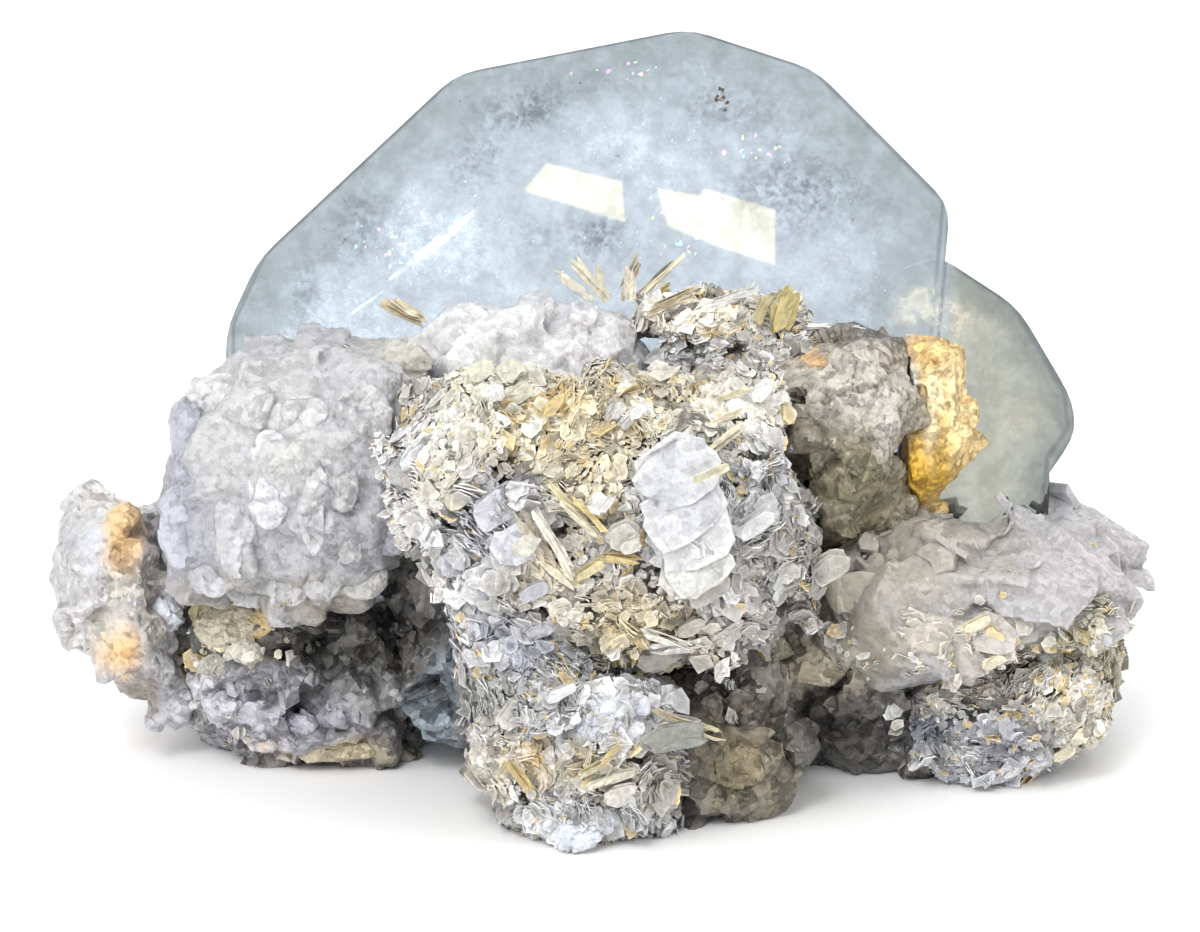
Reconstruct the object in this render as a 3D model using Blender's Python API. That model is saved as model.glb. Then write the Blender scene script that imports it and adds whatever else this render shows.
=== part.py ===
"""Aquamarine on muscovite: a tabular aquamarine leaning back in feldspar, quartz and mica.

Metres, +Z up, +X to the right and +Y to the back as seen from the front of the specimen.
The origin is the bottom centre of the whole specimen, which stands on the flats of its underside.
Outlines and face distances below are in millimetres.
"""

import math
import random
from dataclasses import dataclass

import bmesh
import bpy
import numpy as np
from mathutils import Matrix, Vector, noise

MM = 0.001
GAP = 0.42
WELD = 0.02
BOOK_INSET = 1.0

CRYSTAL_TILT = 10.0
BLANK = 120.0


@dataclass(frozen=True)
class Plate:
    """A tabular crystal: prism faces round a flat plate, each with a bevel to the flat front and back."""

    centre: tuple
    thickness: float
    prism_faces: tuple
    front_bevel: float = 0.5
    back_bevel: float = 0.6
    bevel_slope: float = 45.0


@dataclass(frozen=True)
class Growth:
    """Crystals that stand out of a lump: how many, their half width and half thickness, and the side they face.

    Mica books are six-sided plates and feldspar blocks have four sides. A reach of 0 covers half of the
    lump and one of -1 all of it. A flatness of 0 turns them any way and a high one lays them on the surface.
    """

    count: int
    radius: tuple
    thickness: tuple
    facing: tuple = (0, -1, 0.1)
    reach: float = 0.0
    flatness: float = 0.9
    sides: int = 6
    seed: int = 1


@dataclass(frozen=True)
class Lump:
    """A mineral mass whose silhouette from the front is an outline of (x, z) points.

    Cleavages are flat faces that cut its skin to a depth, facing evenly spread directions.
    """

    outline: tuple
    front: float
    back: float
    detail: int = 3
    squareness: float = 2.6
    bump: float = 0.8
    bump_size: float = 5.0
    cleavages: int = 9
    cleavage_depth: tuple = (0.5, 1.9)
    seed: int = 1
    growth: Growth = None


# The main plate's prism faces as (angle, distance): 0 points to the right and 90 up the plate.
MAIN_PLATE = Plate(
    centre=(-1.3, 6.9, 28.0),
    thickness=13.5,
    prism_faces=(
        (-5, 28.3), (45, 33.1), (72, 32.4), (101, 29.1), (133, 27.3), (155, 29.4),
        (180, 29.3), (222, 29.5), (250, 27.8), (281, 26.6), (312, 28.0), (335, 29.0),
    ),
)
SIDE_PLATE = Plate(
    centre=(25.4, 5.0, 27.0),
    thickness=11.0,
    prism_faces=(
        (57, 13.1), (31, 12.6), (7, 13.4), (-34, 11.5), (-75, 13), (-110, 14), (113, 12.3), (138, 9.6), (165, 5.8),
    ),
)
STEP_PLATE = Plate(
    centre=(26.0, 7.2, 23.0),
    thickness=10.0,
    prism_faces=((60, 9), (30, 10), (-3, 11.2), (-40, 12), (-90, 11), (180, 14), (120, 12)),
)

FELDSPAR_LEFT = Lump(
    outline=(
        (-29.5, 34), (-32.5, 31), (-34.3, 28.5), (-35, 25), (-35, 22), (-35.6, 19), (-35.2, 16.5), (-32, 14.5),
        (-28, 13.8), (-23, 14), (-19, 14.8), (-17, 17), (-14.5, 20), (-12.5, 25), (-12.5, 30), (-13.5, 34.5),
        (-18, 36.3), (-23, 35.8),
    ),
    front=-13,
    back=9,
    squareness=3.4,
    bump=0.9,
    seed=3,
    growth=Growth(22, (2.0, 3.4), (1.2, 2.2), facing=(-0.4, -1, 0.3), reach=-0.05, sides=4, seed=3),
)
FELDSPAR_CREST = Lump(
    outline=((-16.5, 35), (-14, 37.5), (-8, 38), (-2, 38.5), (3, 37.5), (5, 35), (4, 31), (-3, 29), (-12, 29), (-16, 31)),
    front=-8,
    back=9,
    detail=2,
    squareness=3.4,
    bump=0.7,
    seed=5,
    growth=Growth(9, (1.6, 2.8), (0.9, 1.6), facing=(0, -0.6, 1), reach=0.3, sides=4, seed=5),
)
QUARTZ_BLOCK = Lump(
    outline=((14, 31), (16, 34), (20, 36), (24, 36.3), (26, 34.5), (25, 30), (24.3, 25), (23.5, 21), (19, 20), (15, 22)),
    front=-11,
    back=7,
    detail=2,
    squareness=4.0,
    bump=0.7,
    seed=8,
    growth=Growth(8, (1.6, 2.8), (1.2, 2.0), reach=0.2, sides=4, seed=8),
)
STAINED_LEDGE = Lump(
    outline=((24.5, 36), (28, 36.8), (31, 35.5), (31, 31), (30.5, 26.5), (29, 23.5), (26.5, 21.5), (23, 20.5), (23, 32)),
    front=-6.5,
    back=6,
    detail=2,
    squareness=3.4,
    bump=0.6,
    seed=13,
    growth=Growth(7, (1.3, 2.3), (0.8, 1.4), facing=(0.3, -1, 0), reach=0.1, sides=4, seed=13),
)
FELDSPAR_RIGHT = Lump(
    outline=(
        (18, 17), (22, 21), (27, 22), (31.5, 20.6), (35.5, 21.4), (40, 19.6), (43.6, 17.3), (45, 15), (43.5, 13),
        (38, 11.5), (31, 9.5), (25, 8.5), (19, 8), (15, 10), (15.5, 14),
    ),
    front=-14,
    back=12,
    squareness=3.2,
    bump=0.9,
    seed=21,
    growth=Growth(19, (2.1, 3.7), (1.2, 2.2), facing=(0.1, -1, 0.5), reach=-0.05, sides=4, seed=21),
)
STAINED_KNOB = Lump(
    outline=(
        (-44.6, 18.3), (-43, 21.4), (-40.5, 22.4), (-37.5, 21.6), (-35, 20), (-34, 13), (-33, 6), (-35.5, 3.4),
        (-38.5, 4.8), (-40.5, 7), (-42.6, 9), (-43.5, 11.5), (-44.8, 14.5),
    ),
    front=-7,
    back=8,
    detail=2,
    squareness=2.8,
    bump=0.6,
    seed=34,
    growth=Growth(11, (1.5, 2.6), (0.9, 1.6), facing=(-0.6, -1, 0.1), reach=-0.1, sides=4, seed=34),
)

BASE_BOULDERS = (
    Lump(
        outline=((-35.5, 6), (-35.5, 12), (-31, 15), (-22, 16), (-14, 15), (-14.3, 6), (-12.6, 2), (-13, -2), (-29, -2), (-34, 2)),
        front=-6.8,
        back=21,
        squareness=3.4,
        bump=1.1,
        seed=55,
        growth=Growth(11, (2.0, 3.4), (1.1, 2.0), facing=(-0.2, -1, 0.2), reach=0.4, sides=4, seed=55),
    ),
    Lump(
        outline=((-15, 26), (-6, 30), (8, 30), (17, 27), (20, 18), (19, 6), (15, -1), (6, -3.5), (-4, -3), (-13, 2), (-17, 14)),
        front=-12.5,
        back=8,
        detail=2,
        squareness=3.4,
        bump=0.7,
        seed=89,
    ),
    Lump(
        outline=((3, -1), (3.5, 8), (8, 13), (14, 12), (16, 7), (14.4, 1), (12.8, -1.5), (8, -2.5)),
        front=-20.5,
        back=-4,
        detail=2,
        squareness=3.2,
        bump=0.6,
        seed=377,
        growth=Growth(6, (1.4, 2.4), (0.9, 1.6), facing=(0.2, -1, 0.2), reach=0.2, sides=4, seed=37),
    ),
    Lump(
        outline=((10, 8), (16, 15), (27, 17), (37, 15), (42, 10), (42, 4), (37, -2), (26, -2.5), (16, -0.5), (11, 3)),
        front=-9,
        back=20,
        squareness=3.2,
        bump=1.1,
        seed=144,
        growth=Growth(6, (2.0, 3.2), (1.2, 2.2), facing=(0.8, 0.4, 0.1), reach=0.35, sides=4, seed=14),
    ),
    Lump(
        outline=((-27, 8), (-22, 17), (-9, 21), (7, 20), (20, 19), (29, 14), (32, 6), (26, -2), (0, -3), (-24, -2)),
        front=10,
        back=25,
        squareness=3.2,
        bump=1.2,
        seed=233,
        growth=Growth(10, (2.4, 4.2), (1.4, 2.6), facing=(0, 1, 0.3), reach=0.3, sides=4, seed=23),
    ),
)

MICA_CENTRE = Lump(
    outline=(
        (-18.5, 28), (-16, 32.5), (-12, 36), (-7, 36.5), (-2, 35), (4, 36), (10, 36), (15, 34.5), (15.5, 29), (17, 25),
        (19.5, 22), (19, 18), (14.5, 14.5), (7, 12), (1, 11), (-4, 14), (-11, 15), (-15, 21),
    ),
    front=-25,
    back=-1,
    squareness=2.8,
    bump=1.3,
    bump_size=6.0,
    cleavages=5,
    seed=7,
    growth=Growth(36, (2.5, 4.4), (0.5, 1.2), facing=(0, -1, 0.2), seed=2),
)
MICA_FOOT = Lump(
    outline=(
        (-13.5, 20), (-11.5, 14), (-10.8, 7), (-10, 3), (-6, -1.5), (-1, -3.5), (4, -3.5), (7.5, -1), (9, 5), (8.2, 9.5),
        (4, 13), (0, 16), (-6, 20), (-11, 21),
    ),
    front=-26.8,
    back=-3,
    squareness=2.8,
    bump=1.1,
    cleavages=5,
    seed=11,
    growth=Growth(23, (2.1, 3.7), (0.5, 1.1), facing=(0, -1, 0.1), seed=4),
)
MICA_RIGHT = Lump(
    outline=((23.5, 7), (27, 11), (33, 12.5), (42, 12.5), (43.5, 9), (43, 5), (39.5, 1), (33, -1.4), (26, -1.4), (22.5, 2)),
    front=-13,
    back=9,
    squareness=2.8,
    bump=1.0,
    cleavages=5,
    seed=17,
    growth=Growth(16, (1.9, 3.1), (0.5, 1.0), facing=(0.3, -1, -0.1), reach=0.1, seed=6),
)
MICA_CREST = Lump(
    outline=((0.5, 37), (4, 39), (10, 39.5), (15, 39), (19, 36.5), (20, 34), (16, 32), (10, 31.5), (4, 32.5)),
    front=-6,
    back=9,
    detail=2,
    squareness=2.8,
    bump=0.7,
    cleavages=5,
    seed=19,
    growth=Growth(14, (1.6, 2.9), (0.4, 0.8), facing=(-0.1, -0.7, 0.8), reach=0.2, flatness=0.5, seed=9),
)

# Where the centre and foot clusters of mica meet: a seam through these two (x, z) points.
FOOT_SEAM = ((-14.0, 19.6), (8.0, 12.2))
CREST_SEAM_Y = -4.0

MATERIALS = {
    "aquamarine": ((0.74, 0.84, 0.87), 0.05),
    "feldspar": ((0.78, 0.78, 0.79), 0.55),
    "quartz": ((0.52, 0.50, 0.47), 0.3),
    "iron_stain": ((0.72, 0.47, 0.16), 0.6),
    "mica": ((0.80, 0.76, 0.66), 0.25),
    "matrix": ((0.34, 0.33, 0.32), 0.7),
}


def clear_scene():
    """Removes every object that the file starts with."""
    for obj in list(bpy.data.objects):
        bpy.data.objects.remove(obj, do_unlink=True)


def new_collection(name):
    """A collection of that name, linked to the scene."""
    collection = bpy.data.collections.new(name)
    bpy.context.scene.collection.children.link(collection)
    return collection


def material(name):
    """A Principled material in one of the mineral colours."""
    if name in bpy.data.materials:
        return bpy.data.materials[name]
    colour, roughness = MATERIALS[name]
    made = bpy.data.materials.new(name)
    made.use_nodes = True
    shader = made.node_tree.nodes["Principled BSDF"]
    shader.inputs["Base Color"].default_value = (*colour, 1.0)
    shader.inputs["Roughness"].default_value = roughness
    shader.inputs["Metallic"].default_value = 0.0
    return made


def mesh_object(name, bm, collection):
    """An object made of a bmesh in millimetres, which it frees."""
    bmesh.ops.scale(bm, vec=(MM, MM, MM), verts=bm.verts)
    mesh = bpy.data.meshes.new(name)
    bm.to_mesh(mesh)
    bm.free()
    obj = bpy.data.objects.new(name, mesh)
    collection.objects.link(obj)
    return obj


def slice_off(bm, point, normal):
    """Cuts away what lies on the normal's side of a plane, and closes the cut."""
    cut = bmesh.ops.bisect_plane(
        bm, geom=[*bm.verts, *bm.edges, *bm.faces], dist=1e-5, plane_co=point, plane_no=normal, clear_outer=True
    )
    rim = [e for e in cut["geom_cut"] if isinstance(e, bmesh.types.BMEdge)]
    bmesh.ops.holes_fill(bm, edges=rim, sides=0)


def plate_mesh(plate, grow=0.0):
    """The plate cut from a block by its faces, leaning back by CRYSTAL_TILT, each face moved out by grow."""
    bm = bmesh.new()
    bmesh.ops.create_cube(bm, size=BLANK)
    half = plate.thickness / 2
    for side in (-1, 1):
        slice_off(bm, (0, side * (half + grow), 0), (0, side, 0))
    slope = math.radians(plate.bevel_slope)
    for angle, distance in plate.prism_faces:
        turn = math.radians(angle)
        outward = Vector((math.cos(turn), 0, math.sin(turn)))
        slice_off(bm, outward * (distance + grow), outward)
        for side, bevel in ((-1, plate.front_bevel), (1, plate.back_bevel)):
            along = Vector((0, side, 0))
            normal = outward * math.sin(slope) + along * math.cos(slope)
            edge = outward * (distance - bevel) + along * half
            slice_off(bm, edge + normal * grow, normal)
    lean = Matrix.Rotation(math.radians(-CRYSTAL_TILT), 4, "X")
    bmesh.ops.transform(bm, matrix=Matrix.Translation(plate.centre) @ lean, verts=bm.verts)
    bmesh.ops.recalc_face_normals(bm, faces=bm.faces)
    return bm


def outline_centre(outline):
    """The centre of the outline's box."""
    points = np.array(outline, float)
    return (points.min(0) + points.max(0)) / 2


def outline_reach(outline, centre, angles):
    """How far the outline lies from its centre in each direction: the crossing of a ray with each side."""
    start = np.array(outline, float) - centre
    side = np.roll(start, -1, axis=0) - start
    ray = np.stack([np.cos(angles), np.sin(angles)], axis=1)
    cross = ray[:, None, 0] * side[None, :, 1] - ray[:, None, 1] * side[None, :, 0]
    cross = np.where(np.abs(cross) < 1e-9, 1e-9, cross)
    along_ray = (start[None, :, 0] * side[None, :, 1] - start[None, :, 1] * side[None, :, 0]) / cross
    along_side = (start[None, :, 0] * ray[:, None, 1] - start[None, :, 1] * ray[:, None, 0]) / cross
    hit = (along_side >= -1e-6) & (along_side <= 1 + 1e-6) & (along_ray > 0)
    return np.where(hit, along_ray, 0).max(axis=1)


def lump_points(lump, directions):
    """Points of a lump's surface: a rounded block, as wide as its outline and as deep as its front and back."""
    d = np.array(directions, float)
    centre = outline_centre(lump.outline)
    across = np.hypot(d[:, 0], d[:, 2])
    power = lump.squareness
    size = (across**power + np.abs(d[:, 1]) ** power) ** (-1 / power)
    reach = outline_reach(lump.outline, centre, np.arctan2(d[:, 2], d[:, 0]))
    depth = (lump.back - lump.front) / 2
    points = np.empty_like(d)
    points[:, 0] = centre[0] + size * d[:, 0] * reach
    points[:, 1] = (lump.back + lump.front) / 2 + size * d[:, 1] * depth
    points[:, 2] = centre[1] + size * d[:, 2] * reach
    return points


def bump_of(lump, point):
    """How far noise pushes the surface out at a point: broad lumps and finer ones."""
    place = Vector(point) / lump.bump_size + Vector((lump.seed * 3.1, lump.seed * 1.7, 0))
    return lump.bump * (noise.noise(place) + 0.9 * noise.noise(place * 2.3))


def spiral_directions(count):
    """Directions spread evenly over a sphere, along a golden-angle spiral."""
    golden = math.pi * (3 - math.sqrt(5))
    for i in range(count):
        height = 1 - 2 * (i + 0.5) / count
        ring = math.sqrt(1 - height * height)
        yield Vector((ring * math.cos(golden * i), ring * math.sin(golden * i), height))


def lump_mesh(lump, grow=0.0):
    """The lump as a closed mesh, with its surface moved out by grow."""
    bm = bmesh.new()
    bmesh.ops.create_icosphere(bm, subdivisions=lump.detail, radius=1.0)
    points = lump_points(lump, [v.co for v in bm.verts])
    for vert, point in zip(bm.verts, points):
        outward = vert.co.normalized()
        vert.co = Vector(point) + outward * bump_of(lump, point)
    bm.normal_update()
    moves = [v.normal * grow for v in bm.verts]
    for vert, move in zip(bm.verts, moves):
        vert.co += move
    rng = random.Random(lump.seed)
    for direction in spiral_directions(lump.cleavages):
        aside = Vector([rng.uniform(-0.5, 0.5) for _ in range(3)])
        facing = (direction + aside).normalized()
        edge = max(v.co.dot(facing) for v in bm.verts)
        slice_off(bm, facing * (edge - rng.uniform(*lump.cleavage_depth)), facing)
    return bm


def crystal_mesh(place, turn, spin, radius, narrowing, thickness, sides, grow=0.0):
    """One crystal that stands out of a lump: a plate or block with its broad faces across the turned Z axis."""
    bm = bmesh.new()
    wide = radius + grow * 1.3
    depth = thickness + 2 * grow
    bmesh.ops.create_cone(bm, cap_ends=True, segments=sides, radius1=wide, radius2=wide, depth=depth)
    squeeze = Matrix.Diagonal((1, narrowing + grow / radius * (1 - narrowing), 1, 1))
    placed = Matrix.Translation(place) @ turn @ Matrix.Rotation(spin, 4, "Z") @ squeeze
    bmesh.ops.transform(bm, matrix=placed, verts=bm.verts)
    return bm


def growth_meshes(lump, grow=0.0):
    """The crystals of a lump, standing out of the side that its growth faces."""
    growth = lump.growth
    if growth is None:
        return []
    rng = random.Random(growth.seed)
    facing = Vector(growth.facing).normalized()
    share = (1 - growth.reach) / 2
    inset = BOOK_INSET if growth.sides == 6 else 0.0
    made = []
    for direction in spiral_directions(round(growth.count / share)):
        if direction.dot(facing) < growth.reach:
            continue
        place = Vector(lump_points(lump, [direction])[0])
        tumble = Vector([rng.gauss(0, 1) for _ in range(3)]).normalized()
        normal = (tumble + growth.flatness * direction).normalized()
        turn = normal.to_track_quat("Z", "Y").to_matrix().to_4x4()
        radius = rng.uniform(*growth.radius)
        thickness = 2 * rng.uniform(*growth.thickness)
        sunk = inset + 0.35 * thickness + radius * (1 - abs(normal.dot(direction))) * rng.uniform(0.5, 0.8)
        narrowing = rng.uniform(0.65, 0.95)
        spin = rng.uniform(0, math.pi)
        made.append(
            crystal_mesh(place - direction * sunk, turn, spin, radius, narrowing, thickness, growth.sides, grow)
        )
    return made


def lump_meshes(lump, grow=0.0):
    """A lump and its crystals; mica books hide their lump, so it is drawn in a little."""
    core = grow - BOOK_INSET if lump.growth and lump.growth.sides == 6 else grow
    return [lump_mesh(lump, core), *growth_meshes(lump, grow)]


def boolean(obj, operation, others):
    """Joins or cuts an object by all of the others at once."""
    modifier = obj.modifiers.new(operation.lower(), "BOOLEAN")
    modifier.operation = operation
    modifier.solver = "EXACT"
    modifier.operand_type = "COLLECTION"
    modifier.collection = bpy.data.collections.new("operands")
    for other in others:
        modifier.collection.objects.link(other)
    apply_modifiers(obj)


def apply_modifiers(obj):
    """Replaces the object's mesh by its evaluated one."""
    graph = bpy.context.evaluated_depsgraph_get()
    evaluated = bpy.data.meshes.new_from_object(obj.evaluated_get(graph))
    obj.modifiers.clear()
    obj.data = evaluated


def islands(bm):
    """The bmesh's faces in groups that hang together, largest area first."""
    left = set(bm.faces)
    found = []
    while left:
        stack = [left.pop()]
        group = []
        while stack:
            face = stack.pop()
            group.append(face)
            near = {other for edge in face.edges for other in edge.link_faces} & left
            left -= near
            stack.extend(near)
        found.append(group)
    return sorted(found, key=lambda faces: -sum(f.calc_area() for f in faces))


def tidy(obj):
    """Keeps the object's main body, drops the crumbs that a cut leaves, and merges points that nearly touch."""
    bm = bmesh.new()
    bm.from_mesh(obj.data)
    bmesh.ops.remove_doubles(bm, verts=bm.verts, dist=WELD * MM)
    bmesh.ops.dissolve_degenerate(bm, edges=bm.edges, dist=WELD * MM)
    bmesh.ops.triangulate(bm, faces=bm.faces)
    flat = [f for f in bm.faces if f.calc_area() < 1e-13]
    bmesh.ops.delete(bm, geom=flat, context="FACES")
    bmesh.ops.holes_fill(bm, edges=[e for e in bm.edges if e.is_boundary], sides=0)
    for group in islands(bm)[1:]:
        bmesh.ops.delete(bm, geom=group, context="FACES")
    bmesh.ops.triangulate(bm, faces=bm.faces)
    bmesh.ops.recalc_face_normals(bm, faces=bm.faces)
    bm.to_mesh(obj.data)
    bm.free()


def cut_by_plane(obj, point, normal):
    """Cuts away the part of an object on the normal's side of a plane, given in millimetres."""
    bm = bmesh.new()
    bm.from_mesh(obj.data)
    slice_off(bm, Vector(point) * MM, normal)
    bm.to_mesh(obj.data)
    bm.free()


def finish_node(obj, name, mineral, parts):
    """Names an object, gives it its mineral's material and moves it among the specimen's parts."""
    obj.name = name
    obj.data.name = name
    obj.data.materials.clear()
    obj.data.materials.append(material(mineral))
    for collection in list(obj.users_collection):
        collection.objects.unlink(obj)
    parts.objects.link(obj)
    for polygon in obj.data.polygons:
        polygon.use_smooth = False


class Specimen:
    """Builds the pieces in order, each one cut to stand clear of those that are already there."""

    def __init__(self):
        self.parts = new_collection("aquamarine_on_muscovite")
        self.work = new_collection("cutters")
        self.cutters = []
        self.nodes = []

    def add(self, name, mineral, meshes, grown=(), seams=()):
        """Joins the meshes in one piece that stands clear of all earlier pieces and ends at the floor plane.

        The grown meshes are the same ones with the clearance round them, which later pieces are cut by.
        """
        joined = [mesh_object(name, bm, self.work) for bm in meshes]
        piece = joined[0]
        if len(joined) > 1:
            boolean(piece, "UNION", joined[1:])
        for obj in joined[1:]:
            bpy.data.objects.remove(obj)
        for point, normal in seams:
            cut_by_plane(piece, point, normal)
        if self.cutters:
            boolean(piece, "DIFFERENCE", self.cutters)
        cut_by_plane(piece, (0, 0, 0), (0, 0, -1))
        tidy(piece)
        finish_node(piece, name, mineral, self.parts)
        self.nodes.append(piece)
        for bm in grown:
            cutter = mesh_object("cutter", bm, self.work)
            cutter.hide_render = True
            cutter.display_type = "WIRE"
            self.cutters.append(cutter)

    def plates(self, name, mineral, plates):
        """Crystals grown into each other."""
        self.add(name, mineral, [plate_mesh(p) for p in plates], [plate_mesh(p, GAP) for p in plates])

    def lumps(self, name, mineral, *lumps):
        """A mineral mass of one or more lumps."""
        meshes = [bm for lump in lumps for bm in lump_meshes(lump)]
        grown = [bm for lump in lumps for bm in lump_meshes(lump, GAP)]
        self.add(name, mineral, meshes, grown)

    def mica(self, name, lump, seams=()):
        """A cluster of mica books, trimmed along the seams where it meets other mica."""
        self.add(name, "mica", lump_meshes(lump), seams=seams)

    def finish(self):
        """Removes the cutters and moves the specimen so that its bottom centre is at the origin."""
        for cutter in self.cutters:
            bpy.data.objects.remove(cutter)
        corners = np.array([v.co for node in self.nodes for v in node.data.vertices])
        low, high = corners.min(0), corners.max(0)
        shift = Vector((-(low[0] + high[0]) / 2, -(low[1] + high[1]) / 2, -low[2]))
        for node in self.nodes:
            node.data.transform(Matrix.Translation(shift))


def build():
    """Builds the whole specimen."""
    clear_scene()
    specimen = Specimen()
    specimen.plates("aquamarine", "aquamarine", (MAIN_PLATE, SIDE_PLATE, STEP_PLATE))
    specimen.lumps("feldspar_left", "feldspar", FELDSPAR_LEFT)
    specimen.lumps("quartz_block", "quartz", QUARTZ_BLOCK)
    specimen.lumps("stained_ledge", "iron_stain", STAINED_LEDGE)
    specimen.lumps("feldspar_crest", "feldspar", FELDSPAR_CREST)
    specimen.lumps("feldspar_right", "feldspar", FELDSPAR_RIGHT)
    specimen.lumps("stained_knob", "iron_stain", STAINED_KNOB)
    specimen.lumps("matrix_base", "matrix", *BASE_BOULDERS)

    left, right = (Vector((x, 0, z)) for x, z in FOOT_SEAM)
    up = (right - left).cross(Vector((0, 1, 0))).normalized()
    up = up if up.z > 0 else -up
    above_foot = (left + up * GAP / 2, -up)
    before_crest = ((0, CREST_SEAM_Y, 0), (0, 1, 0))
    specimen.mica("muscovite_centre", MICA_CENTRE, seams=[above_foot, before_crest])
    specimen.mica("muscovite_foot", MICA_FOOT, seams=[(left - up * GAP / 2, up)])
    specimen.mica("muscovite_right", MICA_RIGHT)
    specimen.mica("muscovite_crest", MICA_CREST, seams=[((0, CREST_SEAM_Y + GAP, 0), (0, -1, 0))])
    specimen.finish()


build()
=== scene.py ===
"""Looks of an aquamarine on muscovite: crystal, feldspar, quartz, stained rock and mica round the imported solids.

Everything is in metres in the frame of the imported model: X to the right, Y to the back and Z up.
Sizes with a name that ends in _mm are millimetres, and places called at are pixels of the 1200 by 932 picture.
"""

import logging
import math
from dataclasses import dataclass, field, replace
from enum import Enum
from itertools import product
from typing import Callable, Optional, Sequence

import bmesh
import bpy
import numpy as np
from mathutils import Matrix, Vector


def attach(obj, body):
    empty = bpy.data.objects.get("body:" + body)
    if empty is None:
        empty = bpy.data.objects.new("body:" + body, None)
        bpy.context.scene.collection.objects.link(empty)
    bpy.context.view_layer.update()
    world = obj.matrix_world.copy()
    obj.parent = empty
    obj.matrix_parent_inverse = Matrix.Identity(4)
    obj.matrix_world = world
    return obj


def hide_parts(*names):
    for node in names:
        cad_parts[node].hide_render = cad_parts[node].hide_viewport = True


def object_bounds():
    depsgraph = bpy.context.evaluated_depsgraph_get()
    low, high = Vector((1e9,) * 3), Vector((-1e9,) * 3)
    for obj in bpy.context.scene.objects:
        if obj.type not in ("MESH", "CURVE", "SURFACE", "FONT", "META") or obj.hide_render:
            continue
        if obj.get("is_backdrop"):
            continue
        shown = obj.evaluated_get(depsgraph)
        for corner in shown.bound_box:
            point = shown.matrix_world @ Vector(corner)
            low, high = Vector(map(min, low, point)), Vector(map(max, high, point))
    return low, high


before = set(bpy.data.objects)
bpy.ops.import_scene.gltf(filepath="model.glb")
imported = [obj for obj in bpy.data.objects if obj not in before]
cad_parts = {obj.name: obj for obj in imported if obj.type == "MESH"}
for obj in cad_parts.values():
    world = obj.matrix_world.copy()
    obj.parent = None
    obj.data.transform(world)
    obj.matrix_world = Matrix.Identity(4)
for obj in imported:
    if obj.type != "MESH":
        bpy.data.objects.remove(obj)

LOG = logging.getLogger("specimen")
MM = 0.001
BODY = "root"
IMAGE_WIDTH = 1200
IMAGE_HEIGHT = 932

Array = np.ndarray
Colour = tuple[float, float, float]
Point = tuple[float, float, float]
Pixel = tuple[float, float]


class Slot(Enum):
    """The record's material slots."""

    CRYSTAL = "aquamarine"
    FELDSPAR = "feldspar"
    QUARTZ = "quartz"
    STAIN = "iron_stain"
    MICA = "mica"
    MATRIX = "matrix"


def hashed(cells: Array, seed: int, channels: int) -> Array:
    """Repeatable random numbers for lattice cells: indices and seed are mixed by multiplying and shifting.

    Args:
        cells: Integer lattice indices, one row of three for each cell.
        seed: Chooses one of many patterns.
        channels: How many numbers each cell gets.

    Returns:
        Numbers from 0 to 1, one row for each cell.
    """
    whole = cells.astype(np.int64)
    mixed = (whole[:, 0] * 73856093) ^ (whole[:, 1] * 19349663) ^ (whole[:, 2] * 83492791) ^ (seed * 40503)
    columns = []
    for channel in range(channels):
        value = (mixed + channel * 0x9E3779B9) & 0xFFFFFFFF
        for _ in range(2):
            value = ((value ^ (value >> 16)) * 0x45D9F3B) & 0xFFFFFFFF
        columns.append((value ^ (value >> 16)) / 2.0**32)
    return np.stack(columns, axis=1)


def smooth_noise(points: Array, size: float, seed: int) -> Array:
    """Random values at the corners of a lattice, blended inside each cell with smooth weights.

    Args:
        points: Positions, one row each.
        size: Edge of a lattice cell.
        seed: Chooses the pattern.

    Returns:
        Values from -1 to 1.
    """
    scaled = points / size
    base = np.floor(scaled).astype(np.int64)
    inside = scaled - base
    weight = inside * inside * (3 - 2 * inside)
    total = np.zeros(len(points))
    for corner in product((0, 1), repeat=3):
        share = np.prod(np.where(np.array(corner) == 1, weight, 1 - weight), axis=1)
        total += share * hashed(base + np.array(corner), seed, 1)[:, 0]
    return 2 * total - 1


def fractal_noise(points: Array, size: float, seed: int, octaves: int = 3) -> Array:
    """Smooth noise added up over octaves, each half as large and half as strong as the last."""
    layers = [smooth_noise(points, size / 2**k, seed + 17 * k) / 2**k for k in range(octaves)]
    return np.sum(layers, axis=0)


def unit(vectors: Array) -> Array:
    """The same directions with length one."""
    return vectors / np.maximum(np.linalg.norm(vectors, axis=-1, keepdims=True), 1e-12)


def nearest_cell(points: Array, size: float, seed: int) -> tuple[Array, Array]:
    """The jittered lattice seed that lies nearest to each point, which splits space in cells.

    Args:
        points: Positions, one row each.
        size: Mean width of a cell.
        seed: Chooses the pattern.

    Returns:
        The cells' lattice indices and their seeds' positions, one row for each point.
    """
    base = np.floor(points / size).astype(np.int64)
    nearest = np.full(len(points), np.inf)
    home = base.copy()
    centre = np.zeros_like(points)
    for offset in product((-1, 0, 1), repeat=3):
        cell = base + np.array(offset)
        spot = (cell + 0.1 + 0.8 * hashed(cell, seed, 3)) * size
        distance = np.sum((points - spot) ** 2, axis=1)
        closer = distance < nearest
        nearest = np.where(closer, distance, nearest)
        home[closer] = cell[closer]
        centre[closer] = spot[closer]
    return home, centre


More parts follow.
